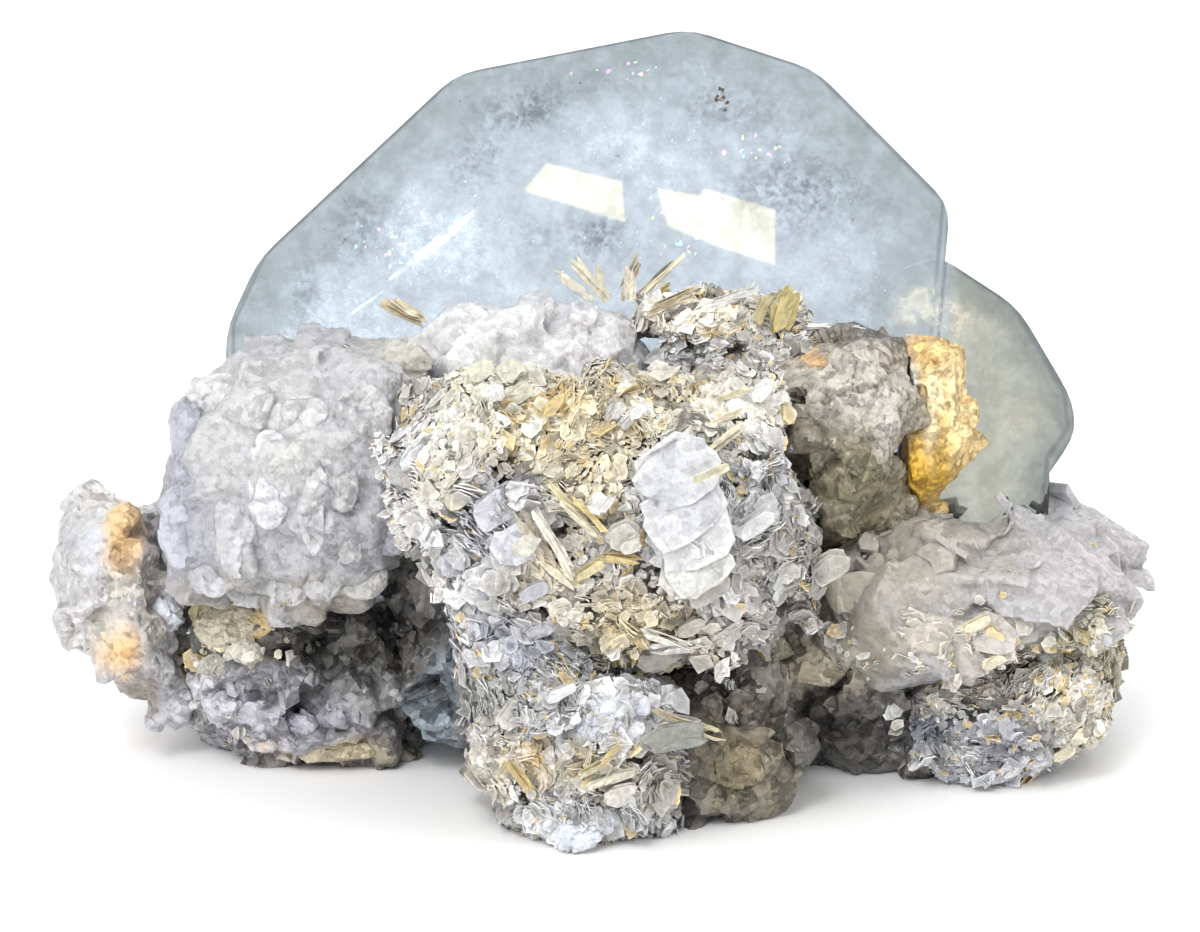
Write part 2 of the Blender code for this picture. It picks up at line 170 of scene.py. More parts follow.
def grain_shift(points: Array, normals: Array, size: float, seed: int, tilt: float, jut: float, longer: Point) -> Array:
    """How far each point moves along its normal to lie on the flat face of its grain.

    Every cell of space has a plane that leans from the surface by a random tilt and stands out by a random jut,
    and the points of the cell move onto that plane.

    Args:
        points: Positions, one row each.
        normals: Smoothed unit normals of the surface.
        size: Mean width of a grain.
        seed: Chooses the pattern.
        tilt: Slope of the grains' faces.
        jut: How far grains stand out or sink, as a share of their size.
        longer: How much longer the grains are along X, Y and Z.

    Returns:
        Signed distances along the normals.
    """
    length = np.array(longer)
    home, centre = nearest_cell(points / length, size, seed)
    chance = hashed(home, seed + 5, 4)
    plane = unit(normals + tilt * unit(chance[:, :3] * 2 - 1))
    across = points - centre * length
    across -= normals * np.sum(across * normals, axis=1, keepdims=True)
    steep = np.maximum(np.sum(normals * plane, axis=1), 0.35)
    shift = -np.sum(across * plane, axis=1) / steep
    return np.clip(shift, -0.4 * size, 0.4 * size) + jut * size * (chance[:, 3] - 0.5)


@dataclass(frozen=True)
class Eye:
    """The photograph's viewpoint: the camera's place and axes, and how points fall on the picture."""

    elevation_deg: float = 15.0
    lens_mm: float = 150.0
    sensor_mm: float = 36.0
    distance_mm: float = 412.5
    target_mm: Point = (0.0, 2.0, 24.15)

    def axes(self) -> tuple[Array, Array, Array, Array]:
        """The camera's place and its right, up and forward directions."""
        tip = math.radians(self.elevation_deg)
        forward = np.array([0.0, math.cos(tip), -math.sin(tip)])
        right = np.array([1.0, 0.0, 0.0])
        eye = np.array(self.target_mm) * MM - forward * self.distance_mm * MM
        return eye, right, np.cross(right, forward), forward

    def focal(self) -> float:
        """The focal length in pixels of the picture."""
        return self.lens_mm / self.sensor_mm * IMAGE_WIDTH

    def picture(self, points: Array) -> Array:
        """Pixels where points are seen: their offsets right and up over their distance, times the focal length."""
        eye, right, up, forward = self.axes()
        ray = points - eye
        scale = self.focal() / (ray @ forward)
        return np.stack([IMAGE_WIDTH / 2 + scale * (ray @ right), IMAGE_HEIGHT / 2 - scale * (ray @ up)], axis=-1)

    def rays(self, pixels: Array) -> Array:
        """Unit directions of the sight lines through pixels."""
        _, right, up, forward = self.axes()
        pixels = np.asarray(pixels, float)
        aside = np.outer((pixels[:, 0] - IMAGE_WIDTH / 2) / self.focal(), right)
        above = np.outer((pixels[:, 1] - IMAGE_HEIGHT / 2) / self.focal(), up)
        return unit(forward + aside - above)

    def hit(self, pixel: Pixel) -> Optional[Array]:
        """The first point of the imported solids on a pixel's sight line, if there is one."""
        eye = self.axes()[0]
        found = bpy.context.scene.ray_cast(bpy.context.evaluated_depsgraph_get(), eye, self.rays([pixel])[0])
        return np.array(found[1]) if found[0] else None


EYE = Eye()


def closeness(pixels: Array, at: Pixel, reach: Pixel) -> Array:
    """One at a pixel of the picture, falling with the squared distance from it in steps of its reach."""
    return np.exp(-np.sum(((pixels - np.array(at)) / np.array(reach)) ** 2, axis=-1))


@dataclass(frozen=True)
class Patch:
    """A tone round a pixel of the picture, which fades over its reach."""

    at: Pixel
    reach: Pixel
    tone: Colour
    weight: float = 1.0


@dataclass(frozen=True)
class Pit:
    """A sunken place round a pixel of the picture, darkened with painted shade."""

    at: Pixel
    reach: Pixel
    depth_mm: float = 1.8


@dataclass(frozen=True)
class Tones:
    """A mineral's ground tone and the patches on it, with frayed edges."""

    ground: Colour
    patches: tuple[Patch, ...] = ()
    fray_px: float = 14.0
    level: float = 0.84

    def at(self, points: Array, seed: int) -> Array:
        """The tone at each point: ground and patches, weighted by how close they are in the picture.

        Args:
            points: Positions, one row each.
            seed: Chooses how the patches' edges fray.

        Returns:
            One colour for each point.
        """
        fray = np.stack([fractal_noise(points, 3 * MM, seed + k, 3) for k in (1, 2)], axis=1)
        pixels = EYE.picture(points) + self.fray_px * fray
        weights = [np.full(len(points), 0.3)]
        weights += [patch.weight * closeness(pixels, patch.at, patch.reach) for patch in self.patches]
        share = np.stack(weights, axis=1) ** 1.6
        colours = np.array([self.ground, *(patch.tone for patch in self.patches)])
        return (share / share.sum(axis=1, keepdims=True)) @ colours * self.level


def mesh_of(name: str, points: Array, faces: Sequence[Array], smooth: bool = False) -> bpy.types.Mesh:
    """A mesh in metres from whole arrays.

    Args:
        name: The mesh's name.
        points: Positions in metres, one row each.
        faces: Arrays of corner indices, each array holding faces with the same number of corners.
        smooth: Whether the faces are shaded smooth.

    Returns:
        The new mesh.
    """
    mesh = bpy.data.meshes.new(name)
    corners = np.concatenate([group.ravel() for group in faces]).astype(np.int32)
    counts = np.concatenate([np.full(len(group), group.shape[1]) for group in faces])
    starts = np.concatenate([[0], np.cumsum(counts)[:-1]]).astype(np.int32)
    mesh.vertices.add(len(points))
    mesh.vertices.foreach_set("co", points.astype(np.float32).ravel())
    mesh.loops.add(len(corners))
    mesh.loops.foreach_set("vertex_index", corners)
    mesh.polygons.add(len(starts))
    mesh.polygons.foreach_set("loop_start", starts)
    mesh.polygons.foreach_set("use_smooth", np.full(len(starts), smooth))
    mesh.update(calc_edges=True)
    mesh.validate()
    return mesh


def add_values(mesh: bpy.types.Mesh, name: str, values: Array) -> None:
    """Stores one number for each vertex of a mesh as a named attribute."""
    mesh.attributes.new(name, "FLOAT", "POINT").data.foreach_set("value", values.astype(np.float32))


def add_tints(mesh: bpy.types.Mesh, tints: Array) -> None:
    """Stores one colour for each vertex of a mesh as its tint attribute."""
    rgba = np.concatenate([tints, np.ones((len(tints), 1))], axis=1).astype(np.float32)
    mesh.color_attributes.new("tint", "FLOAT_COLOR", "POINT").data.foreach_set("color", rgba.ravel())


def positions(mesh: bpy.types.Mesh) -> Array:
    """The positions of a mesh's vertices, one row each."""
    points = np.empty(len(mesh.vertices) * 3)
    mesh.vertices.foreach_get("co", points)
    return points.reshape(-1, 3)


def place(mesh: bpy.types.Mesh, slot: Slot, material: bpy.types.Material, stands_for: Sequence[str] = ()) -> bpy.types.Object:
    """Puts a mesh in the scene as a finished piece that rides on the specimen.

    Args:
        mesh: The piece's mesh, in its place.
        slot: The record's slot that its finish comes from; it is not used.
        material: Its material.
        stands_for: CAD nodes that the piece is shown instead of.

    Returns:
        The new object.
    """
    piece = bpy.data.objects.new(mesh.name, mesh)
    bpy.context.scene.collection.objects.link(piece)
    piece.data.materials.append(material)
    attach(piece, BODY)
    if stands_for:
        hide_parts(*stands_for)
    LOG.info("%s: %d faces", piece.name, len(mesh.polygons))
    return piece


class Graph:
    """Makes the nodes of a material or node group with little text."""

    def __init__(self, tree: bpy.types.NodeTree) -> None:
        """Keeps the tree that the nodes go in."""
        self.tree = tree

    def node(self, kind: str, inputs: Optional[dict] = None, **settings: object) -> bpy.types.Node:
        """Adds a node.

        Args:
            kind: The node's type, without the words that all share.
            inputs: Values or output sockets for its inputs, by name or number.
            **settings: The node's own properties.

        Returns:
            The new node.
        """
        made = self.tree.nodes.new(kind if kind.startswith("NodeGroup") else "ShaderNode" + kind)
        for key, value in settings.items():
            setattr(made, key, value)
        for key, value in (inputs or {}).items():
            self.feed(made.inputs[key], value)
        return made

    def feed(self, socket: bpy.types.NodeSocket, value: object) -> None:
        """Links an output to a socket, or sets the socket's own value."""
        if isinstance(value, bpy.types.NodeSocket):
            self.tree.links.new(value, socket)
        elif isinstance(value, tuple) and len(value) == 3 and socket.type == "RGBA":
            socket.default_value = (*value, 1.0)
        else:
            socket.default_value = value

    def math(self, operation: str, first: object, second: object = 0.0) -> bpy.types.NodeSocket:
        """One arithmetic step on numbers."""
        return self.node("Math", {0: first, 1: second}, operation=operation).outputs[0]

    def mix(self, share: object, first: object, second: object) -> bpy.types.NodeSocket:
        """A blend of two colours."""
        return self.node("Mix", {0: share, 6: first, 7: second}, data_type="RGBA", clamp_factor=True).outputs[2]

    def scaled(self, colour: object, factor: object) -> bpy.types.NodeSocket:
        """A colour made lighter or darker by a factor."""
        return self.node("VectorMath", {0: colour, "Scale": factor}, operation="SCALE").outputs[0]

    def band(self, value: object, low: float, high: float, start: float = 0.0, end: float = 1.0) -> bpy.types.NodeSocket:
        """Smoothly maps a value's range from low to high onto start to end."""
        limits = {"Value": value, "From Min": low, "From Max": high, "To Min": start, "To Max": end}
        return self.node("MapRange", limits, interpolation_type="SMOOTHSTEP").outputs["Result"]

    def noise(self, place: object, per_mm: float, detail: float = 3.0, rough: float = 0.55) -> bpy.types.NodeSocket:
        """Noise with so many cells to the millimetre."""
        inputs = {"Vector": place, "Scale": per_mm / MM, "Detail": detail, "Roughness": rough}
        return self.node("TexNoise", inputs).outputs["Fac"]

    def attribute(self, name: str, socket: str = "Fac") -> bpy.types.NodeSocket:
        """A value or colour stored on the mesh."""
        return self.node("Attribute", attribute_name=name).outputs[socket]


def group_of(name: str, inputs: dict, outputs: dict, fill: Callable[[Graph, bpy.types.Node, bpy.types.Node], None]) -> bpy.types.NodeTree:
    """A shader node group, built once.

    Args:
        name: The group's name.
        inputs: Default numbers by input name.
        outputs: Socket types by output name.
        fill: Builds the inside from the graph, the group's input node and its output node.

    Returns:
        The node group.
    """
    if name in bpy.data.node_groups:
        return bpy.data.node_groups[name]
    tree = bpy.data.node_groups.new(name, "ShaderNodeTree")
    for key, default in inputs.items():
        socket = tree.interface.new_socket(key, in_out="INPUT", socket_type="NodeSocketFloat")
        socket.default_value = default
    for key, kind in outputs.items():
        tree.interface.new_socket(key, in_out="OUTPUT", socket_type=kind)
    graph = Graph(tree)
    fill(graph, graph.node("NodeGroupInput"), graph.node("NodeGroupOutput"))
    return tree


def facet_height(graph: Graph, spot: object, scale: object) -> tuple[bpy.types.NodeSocket, bpy.types.NodeSocket]:
    """Height in millimetres of flat leaning faces, one for each Voronoi cell, and a random number for each cell.

    The height is the product of the way from the cell's seed and the cell's own random direction.
    """
    cells = graph.node("TexVoronoi", {"Vector": spot, "Scale": scale})
    away = graph.node("VectorMath", {0: spot, 1: cells.outputs["Position"]}, operation="SUBTRACT").outputs[0]
    lean = graph.node("VectorMath", {0: cells.outputs["Color"], 1: (0.5, 0.5, 0.5)}, operation="SUBTRACT").outputs[0]
    height = graph.node("VectorMath", {0: away, 1: lean}, operation="DOT_PRODUCT").outputs["Value"]
    chance = graph.node("SeparateColor", {"Color": cells.outputs["Color"]}).outputs[0]
    return graph.math("MULTIPLY", height, 1 / MM), chance


def fill_facets(graph: Graph, start: bpy.types.Node, end: bpy.types.Node) -> None:
    """Crystal faces of two sizes with fine noise on them, and a random number for each grain."""
    spot = graph.node("TexCoord").outputs["Object"]
    coarse, chance = facet_height(graph, spot, start.outputs["Grains"])
    fine, second = facet_height(graph, spot, graph.math("MULTIPLY", start.outputs["Grains"], 2.3))
    both = graph.math("ADD", coarse, graph.math("MULTIPLY", fine, 0.9))
    dust = graph.math("MULTIPLY", graph.noise(spot, 5.0, 3.0, 0.6), 0.05)
    graph.feed(end.inputs["Height"], graph.math("ADD", both, dust))
    graph.feed(end.inputs["Grain"], graph.math("ADD", graph.math("MULTIPLY", chance, 0.6), graph.math("MULTIPLY", second, 0.4)))


def facet_group() -> bpy.types.NodeTree:
    """The small crystal faces that all rock shows."""
    outputs = {"Height": "NodeSocketFloat", "Grain": "NodeSocketFloat"}
    return group_of("crystal_facets", {"Grains": 700.0}, outputs, fill_facets)


def fill_stain(graph: Graph, start: bpy.types.Node, end: bpy.types.Node) -> None:
    """A mask of iron stain: broad patches that are broken up by finer noise."""
    spot = graph.node("TexCoord").outputs["Object"]
    broad = graph.noise(spot, 0.16, 3.0, 0.5)
    broken = graph.noise(spot, 1.1, 4.0, 0.65)
    both = graph.math("ADD", graph.math("MULTIPLY", broad, 0.65), graph.math("MULTIPLY", broken, 0.35))
    over = graph.math("SUBTRACT", both, graph.math("SUBTRACT", 1.0, start.outputs["Amount"]))
    graph.feed(end.inputs["Mask"], graph.band(over, -0.03, 0.12))


def stain_group() -> bpy.types.NodeTree:
    """The patches of iron stain that several minerals carry."""
    return group_of("iron_patches", {"Amount": 0.5}, {"Mask": "NodeSocketFloat"}, fill_stain)


def new_material(name: str) -> tuple[bpy.types.Material, Graph, bpy.types.Node]:
    """An empty node material with its Principled shader."""
    material = bpy.data.materials.new(name)
    material.use_nodes = True
    return material, Graph(material.node_tree), material.node_tree.nodes["Principled BSDF"]


@dataclass(frozen=True)
class RockFinish:
    """A granular mineral that takes its tone from the mesh: grains differ in lightness, and gaps and hollows get
    painted shade.
    """

    name: str
    # Colour of the painted shade in hollows, and of the mineral's dark speckles.
    shade_and_speck_colour: Colour = (0.2, 0.19, 0.18)
    stain: Colour = (0.66, 0.42, 0.16)
    stain_amount: float = 0.3
    contrast: float = 0.35
    speckle: float = 0.3
    grains: float = 700.0
    rough: tuple[float, float] = (0.25, 0.5)
    facet_tilt: float = 0.8
    glow: float = 0.0

    def material(self) -> bpy.types.Material:
        """Builds the finish: tone by grain, painted shade in gaps and hollows, dark speckles, stain, facet bump and
        varied roughness.
        """
        material, graph, shader = new_material(self.name)
        spot = graph.node("TexCoord").outputs["Object"]
        grain = graph.node("Group", {}, node_tree=facet_group())
        grain.inputs["Grains"].default_value = self.grains
        uneven = graph.math("ADD", graph.math("MULTIPLY", graph.noise(spot, 0.7, 4.0, 0.6), 0.5), graph.math("MULTIPLY", grain.outputs["Grain"], 0.5))
        light = graph.band(uneven, 0.3, 0.7, 1.0 - self.contrast, 1.0 + 0.3 * self.contrast)
        body = graph.scaled(graph.attribute("tint", "Color"), light)
        patches = graph.node("Group", {}, node_tree=stain_group())
        patches.inputs["Amount"].default_value = self.stain_amount
        body = graph.mix(graph.math("MULTIPLY", patches.outputs["Mask"], 0.8), body, self.stain)
        speckles = graph.band(graph.noise(spot, 1.3, 5.0, 0.7), 0.58, 0.7)
        # Painted shade where the mesh marks hollows, plus the mineral's dark speckles.
        dark = graph.math("ADD", graph.math("MULTIPLY", graph.attribute("hollow"), 0.7), graph.math("MULTIPLY", speckles, self.speckle))
        graph.feed(shader.inputs["Base Color"], graph.mix(dark, body, self.shade_and_speck_colour))
        low, high = self.rough
        graph.feed(shader.inputs["Roughness"], graph.band(graph.noise(spot, 1.6, 3.0), 0.3, 0.7, low, high))
        relief = {"Strength": 1.0, "Distance": self.facet_tilt * MM, "Height": grain.outputs["Height"]}
        graph.feed(shader.inputs["Normal"], graph.node("Bump", relief).outputs[0])
        if self.glow:
            shader.inputs["Subsurface Weight"].default_value = self.glow
            shader.inputs["Subsurface Radius"].default_value = (1.0, 0.95, 0.9)
            shader.inputs["Subsurface Scale"].default_value = 1.2 * MM
        return material


@dataclass(frozen=True)
class MicaFinish:
    """Mica leaves: each leaf's own tint with a painted highlight towards its rim, and a pearly lustre that varies by
    leaf.
    """

    name: str = "mica_leaves"
    metallic: float = 0.1
    rough: tuple[float, float] = (0.13, 0.5)
    # Lightness from a leaf's middle to its rim: a painted highlight on the rim.
    rim: tuple[float, float] = (0.78, 1.14)

    def material(self) -> bpy.types.Material:
        """Builds the finish from the leaves' tint, edge and lustre attributes; the edge paints a highlight on each rim.
        """
        material, graph, shader = new_material(self.name)
        spot = graph.node("TexCoord").outputs["Object"]
        # Painted highlight: leaves get lighter towards their rims.
        rim = graph.band(graph.attribute("edge"), 0.55, 1.0, *self.rim)
        mottle = graph.band(graph.noise(spot, 1.7, 5.0, 0.7), 0.36, 0.64, 0.74, 1.1)
        lit = graph.scaled(graph.attribute("tint", "Color"), graph.math("MULTIPLY", rim, mottle))
        soil = graph.band(graph.noise(spot, 2.6, 4.0, 0.65), 0.54, 0.76, 0.0, 0.35)
        graph.feed(shader.inputs["Base Color"], graph.mix(soil, lit, (0.46, 0.39, 0.27)))
        low, high = self.rough
        graph.feed(shader.inputs["Roughness"], graph.band(graph.attribute("gloss"), 0.0, 1.0, high, low))
        shader.inputs["Metallic"].default_value = self.metallic
        shader.inputs["IOR"].default_value = 1.59
        shader.inputs["Coat Weight"].default_value = 0.15
        shader.inputs["Coat Roughness"].default_value = 0.12
        relief = {"Strength": 0.8, "Distance": 0.11 * MM, "Height": graph.noise(spot, 2.0, 5.0, 0.7)}
        graph.feed(shader.inputs["Normal"], graph.node("Bump", relief).outputs[0])
        return material


@dataclass(frozen=True)
class PlateFrame:
    """A flat crystal's own axes: its centre, its thickness, its lean, and its prism faces as (angle, distance)."""

    centre_mm: Point
    thickness_mm: float
    faces: tuple[tuple[float, float], ...]
    lean_deg: float = 10.0

    def axes(self) -> tuple[Array, Array, Array]:
        """Unit directions across, through and up the plate."""
        lean = math.radians(self.lean_deg)
        through = np.array([0.0, math.cos(lean), -math.sin(lean)])
        return np.array([1.0, 0.0, 0.0]), through, np.array([0.0, math.sin(lean), math.cos(lean)])

    def reach(self, turn: Array) -> Array:
        """How far the plate's edge lies in each direction: the nearest of its faces' lines."""
        angle = np.radians([a for a, _ in self.faces])
        distance = np.array([d for _, d in self.faces])
        slope = np.cos(np.asarray(turn)[..., None] - angle)
        along = np.where(slope > 0.05, distance / np.maximum(slope, 0.05), 1e9)
        return along.min(axis=-1) * MM

    def outline(self, round_mm: float, steps: int = 4) -> Array:
        """The outline, across and up: the faces' lines cross in corners, and each corner is rounded.

        A rounded corner is the curve of second degree from a point before the corner to one after it.

        Args:
            round_mm: How far from the corner its curve starts.
            steps: Points on each curve.

        Returns:
            One row for each point.
        """
        order = sorted(self.faces, key=lambda face: face[0] % 360)
        angle = np.radians([turn for turn, _ in order])
        distance = np.array([far for _, far in order]) * MM
        after, beyond = np.roll(angle, -1), np.roll(distance, -1)
        across = (distance * np.sin(after) - beyond * np.sin(angle)) / np.sin(after - angle)
        up = (beyond * np.cos(angle) - distance * np.cos(after)) / np.sin(after - angle)
        corner = np.stack([across, up], axis=1)
        back, ahead = np.roll(corner, 1, axis=0) - corner, np.roll(corner, -1, axis=0) - corner
        cut = [np.minimum(round_mm * MM, 0.4 * np.linalg.norm(way, axis=1))[:, None] * unit(way) for way in (back, ahead)]
        t = np.linspace(0, 1, steps)[None, :, None]
        curve = corner[:, None] + (1 - t) ** 2 * cut[0][:, None] + t**2 * cut[1][:, None]
        return curve.reshape(-1, 2)

    def prism(self, name: str, follow: float, round_mm: float) -> bpy.types.Object:
        """The plate as a closed prism whose side faces hide behind its front face.

        A side face runs back along a share of the sight line's slope. The share lies between the slope inside
        the glass and the slope in air, so that neither shows the face.

        Args:
            name: The object's name.
            follow: Share of the sight line's slope.
            round_mm: How far from a corner its rounding starts.

        Returns:
            The object.
        """
        flat = self.outline(round_mm)
        ring = np.arange(len(flat))
        after, behind = np.roll(ring, -1), len(flat)
        thickness = self.thickness_mm * MM
        front = self.world(flat[:, 0], np.full(len(flat), -thickness / 2), flat[:, 1])
        across, through, above = self.axes()
        way = front - EYE.axes()[0]
        slope = way / (way @ through)[:, None]
        aside = (slope @ across)[:, None] * across + (slope @ above)[:, None] * above
        back = front + thickness * (through + follow * aside)
        walls = np.stack([after, ring, ring + behind, after + behind], axis=1)
        mesh = mesh_of(name, np.concatenate([front, back]), [walls, ring[None], ring[None, ::-1] + behind])
        plate = bpy.data.objects.new(name, mesh)
        bpy.context.scene.collection.objects.link(plate)
        return plate

    def world(self, across: Array, depth: Array, up: Array) -> Array:
        """World positions of points given across, through and up the plate."""
        parts = [np.asarray(part)[..., None] * axis for part, axis in zip((across, depth, up), self.axes())]
        return sum(parts) + np.array(self.centre_mm) * MM

    def seen_at(self, pixels: Array, depth_mm: float) -> tuple[Array, Array]:
        """Where sight lines meet the sheet at a depth through the plate, given across and up it."""
        across, normal, above = self.axes()
        middle = np.array(self.centre_mm) * MM + normal * depth_mm * MM
        eye = EYE.axes()[0]
        rays = EYE.rays(pixels)
        points = eye + rays * (((middle - eye) @ normal) / (rays @ normal))[:, None] - middle
        return points @ across, points @ above


MAIN_PLATE = PlateFrame(
    (-1.3, 6.9, 28.0), 13.5, (
        (-5, 28.3), (45, 33.1), (72, 32.4), (101, 29.1), (133, 27.3), (155, 29.4),
        (180, 29.3), (222, 28.4), (250, 25.4), (281, 24.4), (312, 26.8), (335, 29.0),
    ),
)
SIDE_PLATE = PlateFrame(
    (25.4, 5.0, 27.0), 11.0, ((57, 13.1), (31, 12.6), (7, 13.4), (-34, 11.5), (-75, 13), (-110, 14), (113, 12.3), (138, 9.6), (165, 5.8)),
)
STEP_PLATE = PlateFrame((26.0, 6.3, 23.0), 8.2, ((60, 9), (30, 10), (-3, 11.2), (-40, 12), (-90, 11), (180, 14), (120, 12)))


@dataclass(frozen=True)
class CrystalFinish:
    """Clear pale blue beryl: cloudy and light in the middle, grey-green towards the rim, with painted shade along its
    very edge.
    """

    name: str = "aquamarine_clear"
    index: float = 1.577
    tint: Colour = (0.50, 0.66, 0.72)
    density: float = 26.0
    rim: Colour = (0.42, 0.46, 0.48)
    heart: Colour = (0.585, 0.63, 0.69)
    side: Colour = (0.47, 0.465, 0.40)
    side_rim: Colour = (0.31, 0.325, 0.295)
    # Colour of the painted shade along the edges.
    edge: Colour = (0.12, 0.12, 0.15)
    front_rough: float = 0.012
    side_rough: float = 0.5

    def rim_distance(self, graph: Graph, spot: object, plate: PlateFrame) -> bpy.types.NodeSocket:
        """Millimetres to the nearest prism face: the least, over the faces, of their distance less the way to them."""
        across, _, above = plate.axes()
        lowest = None
        for angle, distance in plate.faces:
            outward = across * math.cos(math.radians(angle)) + above * math.sin(math.radians(angle))
            way = graph.node("VectorMath", {0: spot, 1: tuple(outward.tolist())}, operation="DOT_PRODUCT").outputs["Value"]
            start = distance + float(outward @ np.array(plate.centre_mm))
            left = graph.node("Math", {0: way, 1: -1 / MM, 2: start}, operation="MULTIPLY_ADD").outputs[0]
            lowest = left if lowest is None else graph.math("MINIMUM", lowest, left)
        return lowest

    def material(self, plate: PlateFrame) -> bpy.types.Material:
        """Builds plain transmission with absorption, coloured by the way to the rim and by mottled clouds, with painted
        shade along the edges.

        Args:
            plate: The main crystal's axes and faces.

        Returns:
            The material.
        """
        material, graph, shader = new_material(self.name)
        spot = graph.node("TexCoord").outputs["Object"]
        broad = graph.noise(spot, 0.09, 3.0, 0.5)
        left = self.rim_distance(graph, spot, plate)
        inward = graph.math("ADD", left, graph.math("MULTIPLY", graph.math("SUBTRACT", broad, 0.5), 14.0))
        heart = graph.band(inward, 0.5, 9.0)
        colour = graph.mix(heart, self.rim, self.heart)
        aside = graph.math("MAXIMUM", self.rim_distance(graph, spot, SIDE_PLATE), self.rim_distance(graph, spot, STEP_PLATE))
        beside = graph.mix(graph.band(aside, 0.2, 4.5), self.side_rim, self.side)
        # Painted shade: a dark line along the side plates' edges.
        beside = graph.mix(graph.band(graph.math("ABSOLUTE", aside), 0.05, 0.34, 0.8, 0.0), beside, self.edge)
        colour = graph.mix(graph.band(left, -1.6, -0.8, 1.0, 0.0), colour, beside)
        # Painted shade: a dark line along the main plate's very edge.
        colour = graph.mix(graph.band(graph.math("ABSOLUTE", left), 0.04, 0.26, 0.75, 0.0), colour, self.edge)
        mottle = graph.band(graph.noise(spot, 0.5, 6.0, 0.66), 0.36, 0.64, 0.74, 1.06)
        grit = graph.band(graph.noise(spot, 3.2, 3.0, 0.6), 0.3, 0.6, 0.93, 1.0)
        colour = graph.scaled(colour, graph.math("MULTIPLY", mottle, grit))
        graph.feed(shader.inputs["Base Color"], colour)
        facing = graph.node("VectorMath", {0: graph.node("TexCoord").outputs["Normal"], 1: tuple(plate.axes()[1].tolist())}, operation="DOT_PRODUCT")
        flat = graph.band(graph.math("ABSOLUTE", facing.outputs["Value"]), 0.8, 0.98)
        rough = graph.math("ADD", self.side_rough, graph.math("MULTIPLY", flat, self.front_rough - self.side_rough))
        graph.feed(shader.inputs["Roughness"], rough)
        shader.inputs["IOR"].default_value = self.index
        shader.inputs["Transmission Weight"].default_value = 1.0
        absorb = graph.node("VolumeAbsorption", {"Color": self.tint, "Density": self.density})
        graph.feed(material.node_tree.nodes["Material Output"].inputs["Volume"], absorb.outputs[0])
        return material


@dataclass(frozen=True)
class VeilFinish:
    """Haze inside the crystal, thick where its cloud attribute is high, in wisps with fine specks, and glowing with
    painted light of its own colour.
    """

    name: str
    colour: Colour = (0.92, 0.96, 1.0)
    strength: float = 0.6
    # Strength of the painted glow.
    glow: float = 0.72
    wisps_per_mm: float = 0.75
    specks: float = 0.25

    def material(self) -> bpy.types.Material:
        """Builds a matt finish whose alpha is a cloud of three sizes of noise, with a painted glow in its own colour.
        """
        material, graph, shader = new_material(self.name)
        spot = graph.node("TexCoord").outputs["Object"]
        broad = graph.band(graph.noise(spot, 0.16, 3.0, 0.55), 0.3, 0.7, 0.3, 1.1)
        wisps = graph.band(graph.noise(spot, self.wisps_per_mm, 5.0, 0.6), 0.38, 0.64)
        specks = graph.band(graph.noise(spot, 2.2, 4.0, 0.6), 0.5, 0.62)
        fog = graph.math("MULTIPLY", broad, graph.math("ADD", graph.math("MULTIPLY", wisps, 0.8), 0.12))
        both = graph.math("ADD", fog, graph.math("MULTIPLY", specks, self.specks))
        alpha = graph.math("MULTIPLY", graph.math("MULTIPLY", both, graph.attribute("cloud")), self.strength)
        graph.feed(shader.inputs["Alpha"], alpha)
        shader.inputs["Base Color"].default_value = (*self.colour, 1.0)
        # Painted light: the haze glows in its own colour.
        shader.inputs["Emission Color"].default_value = (*self.colour, 1.0)
        shader.inputs["Emission Strength"].default_value = self.glow
        shader.inputs["Roughness"].default_value = 0.8
        shader.inputs["Specular IOR Level"].default_value = 0.2
        return material


@dataclass(frozen=True)
class FleckFinish:
    """Small healed cracks and grains inside the crystal, each with its own tint, the bright ones glowing with painted
    glints.
    """

    name: str = "inner_flecks"

    def material(self) -> bpy.types.Material:
        """Builds a glossy finish that takes its colour from the flecks' tint, and glows with a painted glint where
        their glint value is high.
        """
        material, graph, shader = new_material(self.name)
        tint = graph.attribute("tint", "Color")
        graph.feed(shader.inputs["Base Color"], tint)
        # Painted glints: flecks glow in their tint where the glint value is high.
        graph.feed(shader.inputs["Emission Color"], graph.scaled(tint, graph.attribute("gloss")))
        shader.inputs["Emission Strength"].default_value = 1.5
        spot = graph.node("TexCoord").outputs["Object"]
        graph.feed(shader.inputs["Roughness"], graph.band(graph.noise(spot, 1.5), 0.3, 0.7, 0.2, 0.6))
        return material


def node_surface(node: str) -> tuple[Array, Array, Array]:
    """A CAD node's triangles: corner positions, unit normals and areas."""
    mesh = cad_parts[node].data
    mesh.calc_loop_triangles()
    corners = np.empty(len(mesh.loop_triangles) * 3, np.int64)
    mesh.loop_triangles.foreach_get("vertices", corners)
    triangles = positions(mesh)[corners.reshape(-1, 3)]
    cross = np.cross(triangles[:, 1] - triangles[:, 0], triangles[:, 2] - triangles[:, 0])
    return triangles, unit(cross), np.linalg.norm(cross, axis=1) / 2


def merged_copy(node: str) -> bpy.types.Object:
    """A new object with a CAD node's surface, its loose triangles merged."""
    bm = bmesh.new()
    bm.from_mesh(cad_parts[node].data)
    bmesh.ops.remove_doubles(bm, verts=bm.verts, dist=1e-6)
    mesh = bpy.data.meshes.new(node + "_copy")
    bm.to_mesh(mesh)
    bm.free()
    copy = bpy.data.objects.new(mesh.name, mesh)
    bpy.context.scene.collection.objects.link(copy)
    return copy


def applied(copy: bpy.types.Object) -> bpy.types.Mesh:
    """The mesh that an object's modifiers make of it; the object is removed."""
    graph = bpy.context.evaluated_depsgraph_get()
    mesh = bpy.data.meshes.new_from_object(copy.evaluated_get(graph))
    bpy.data.objects.remove(copy)
    return mesh


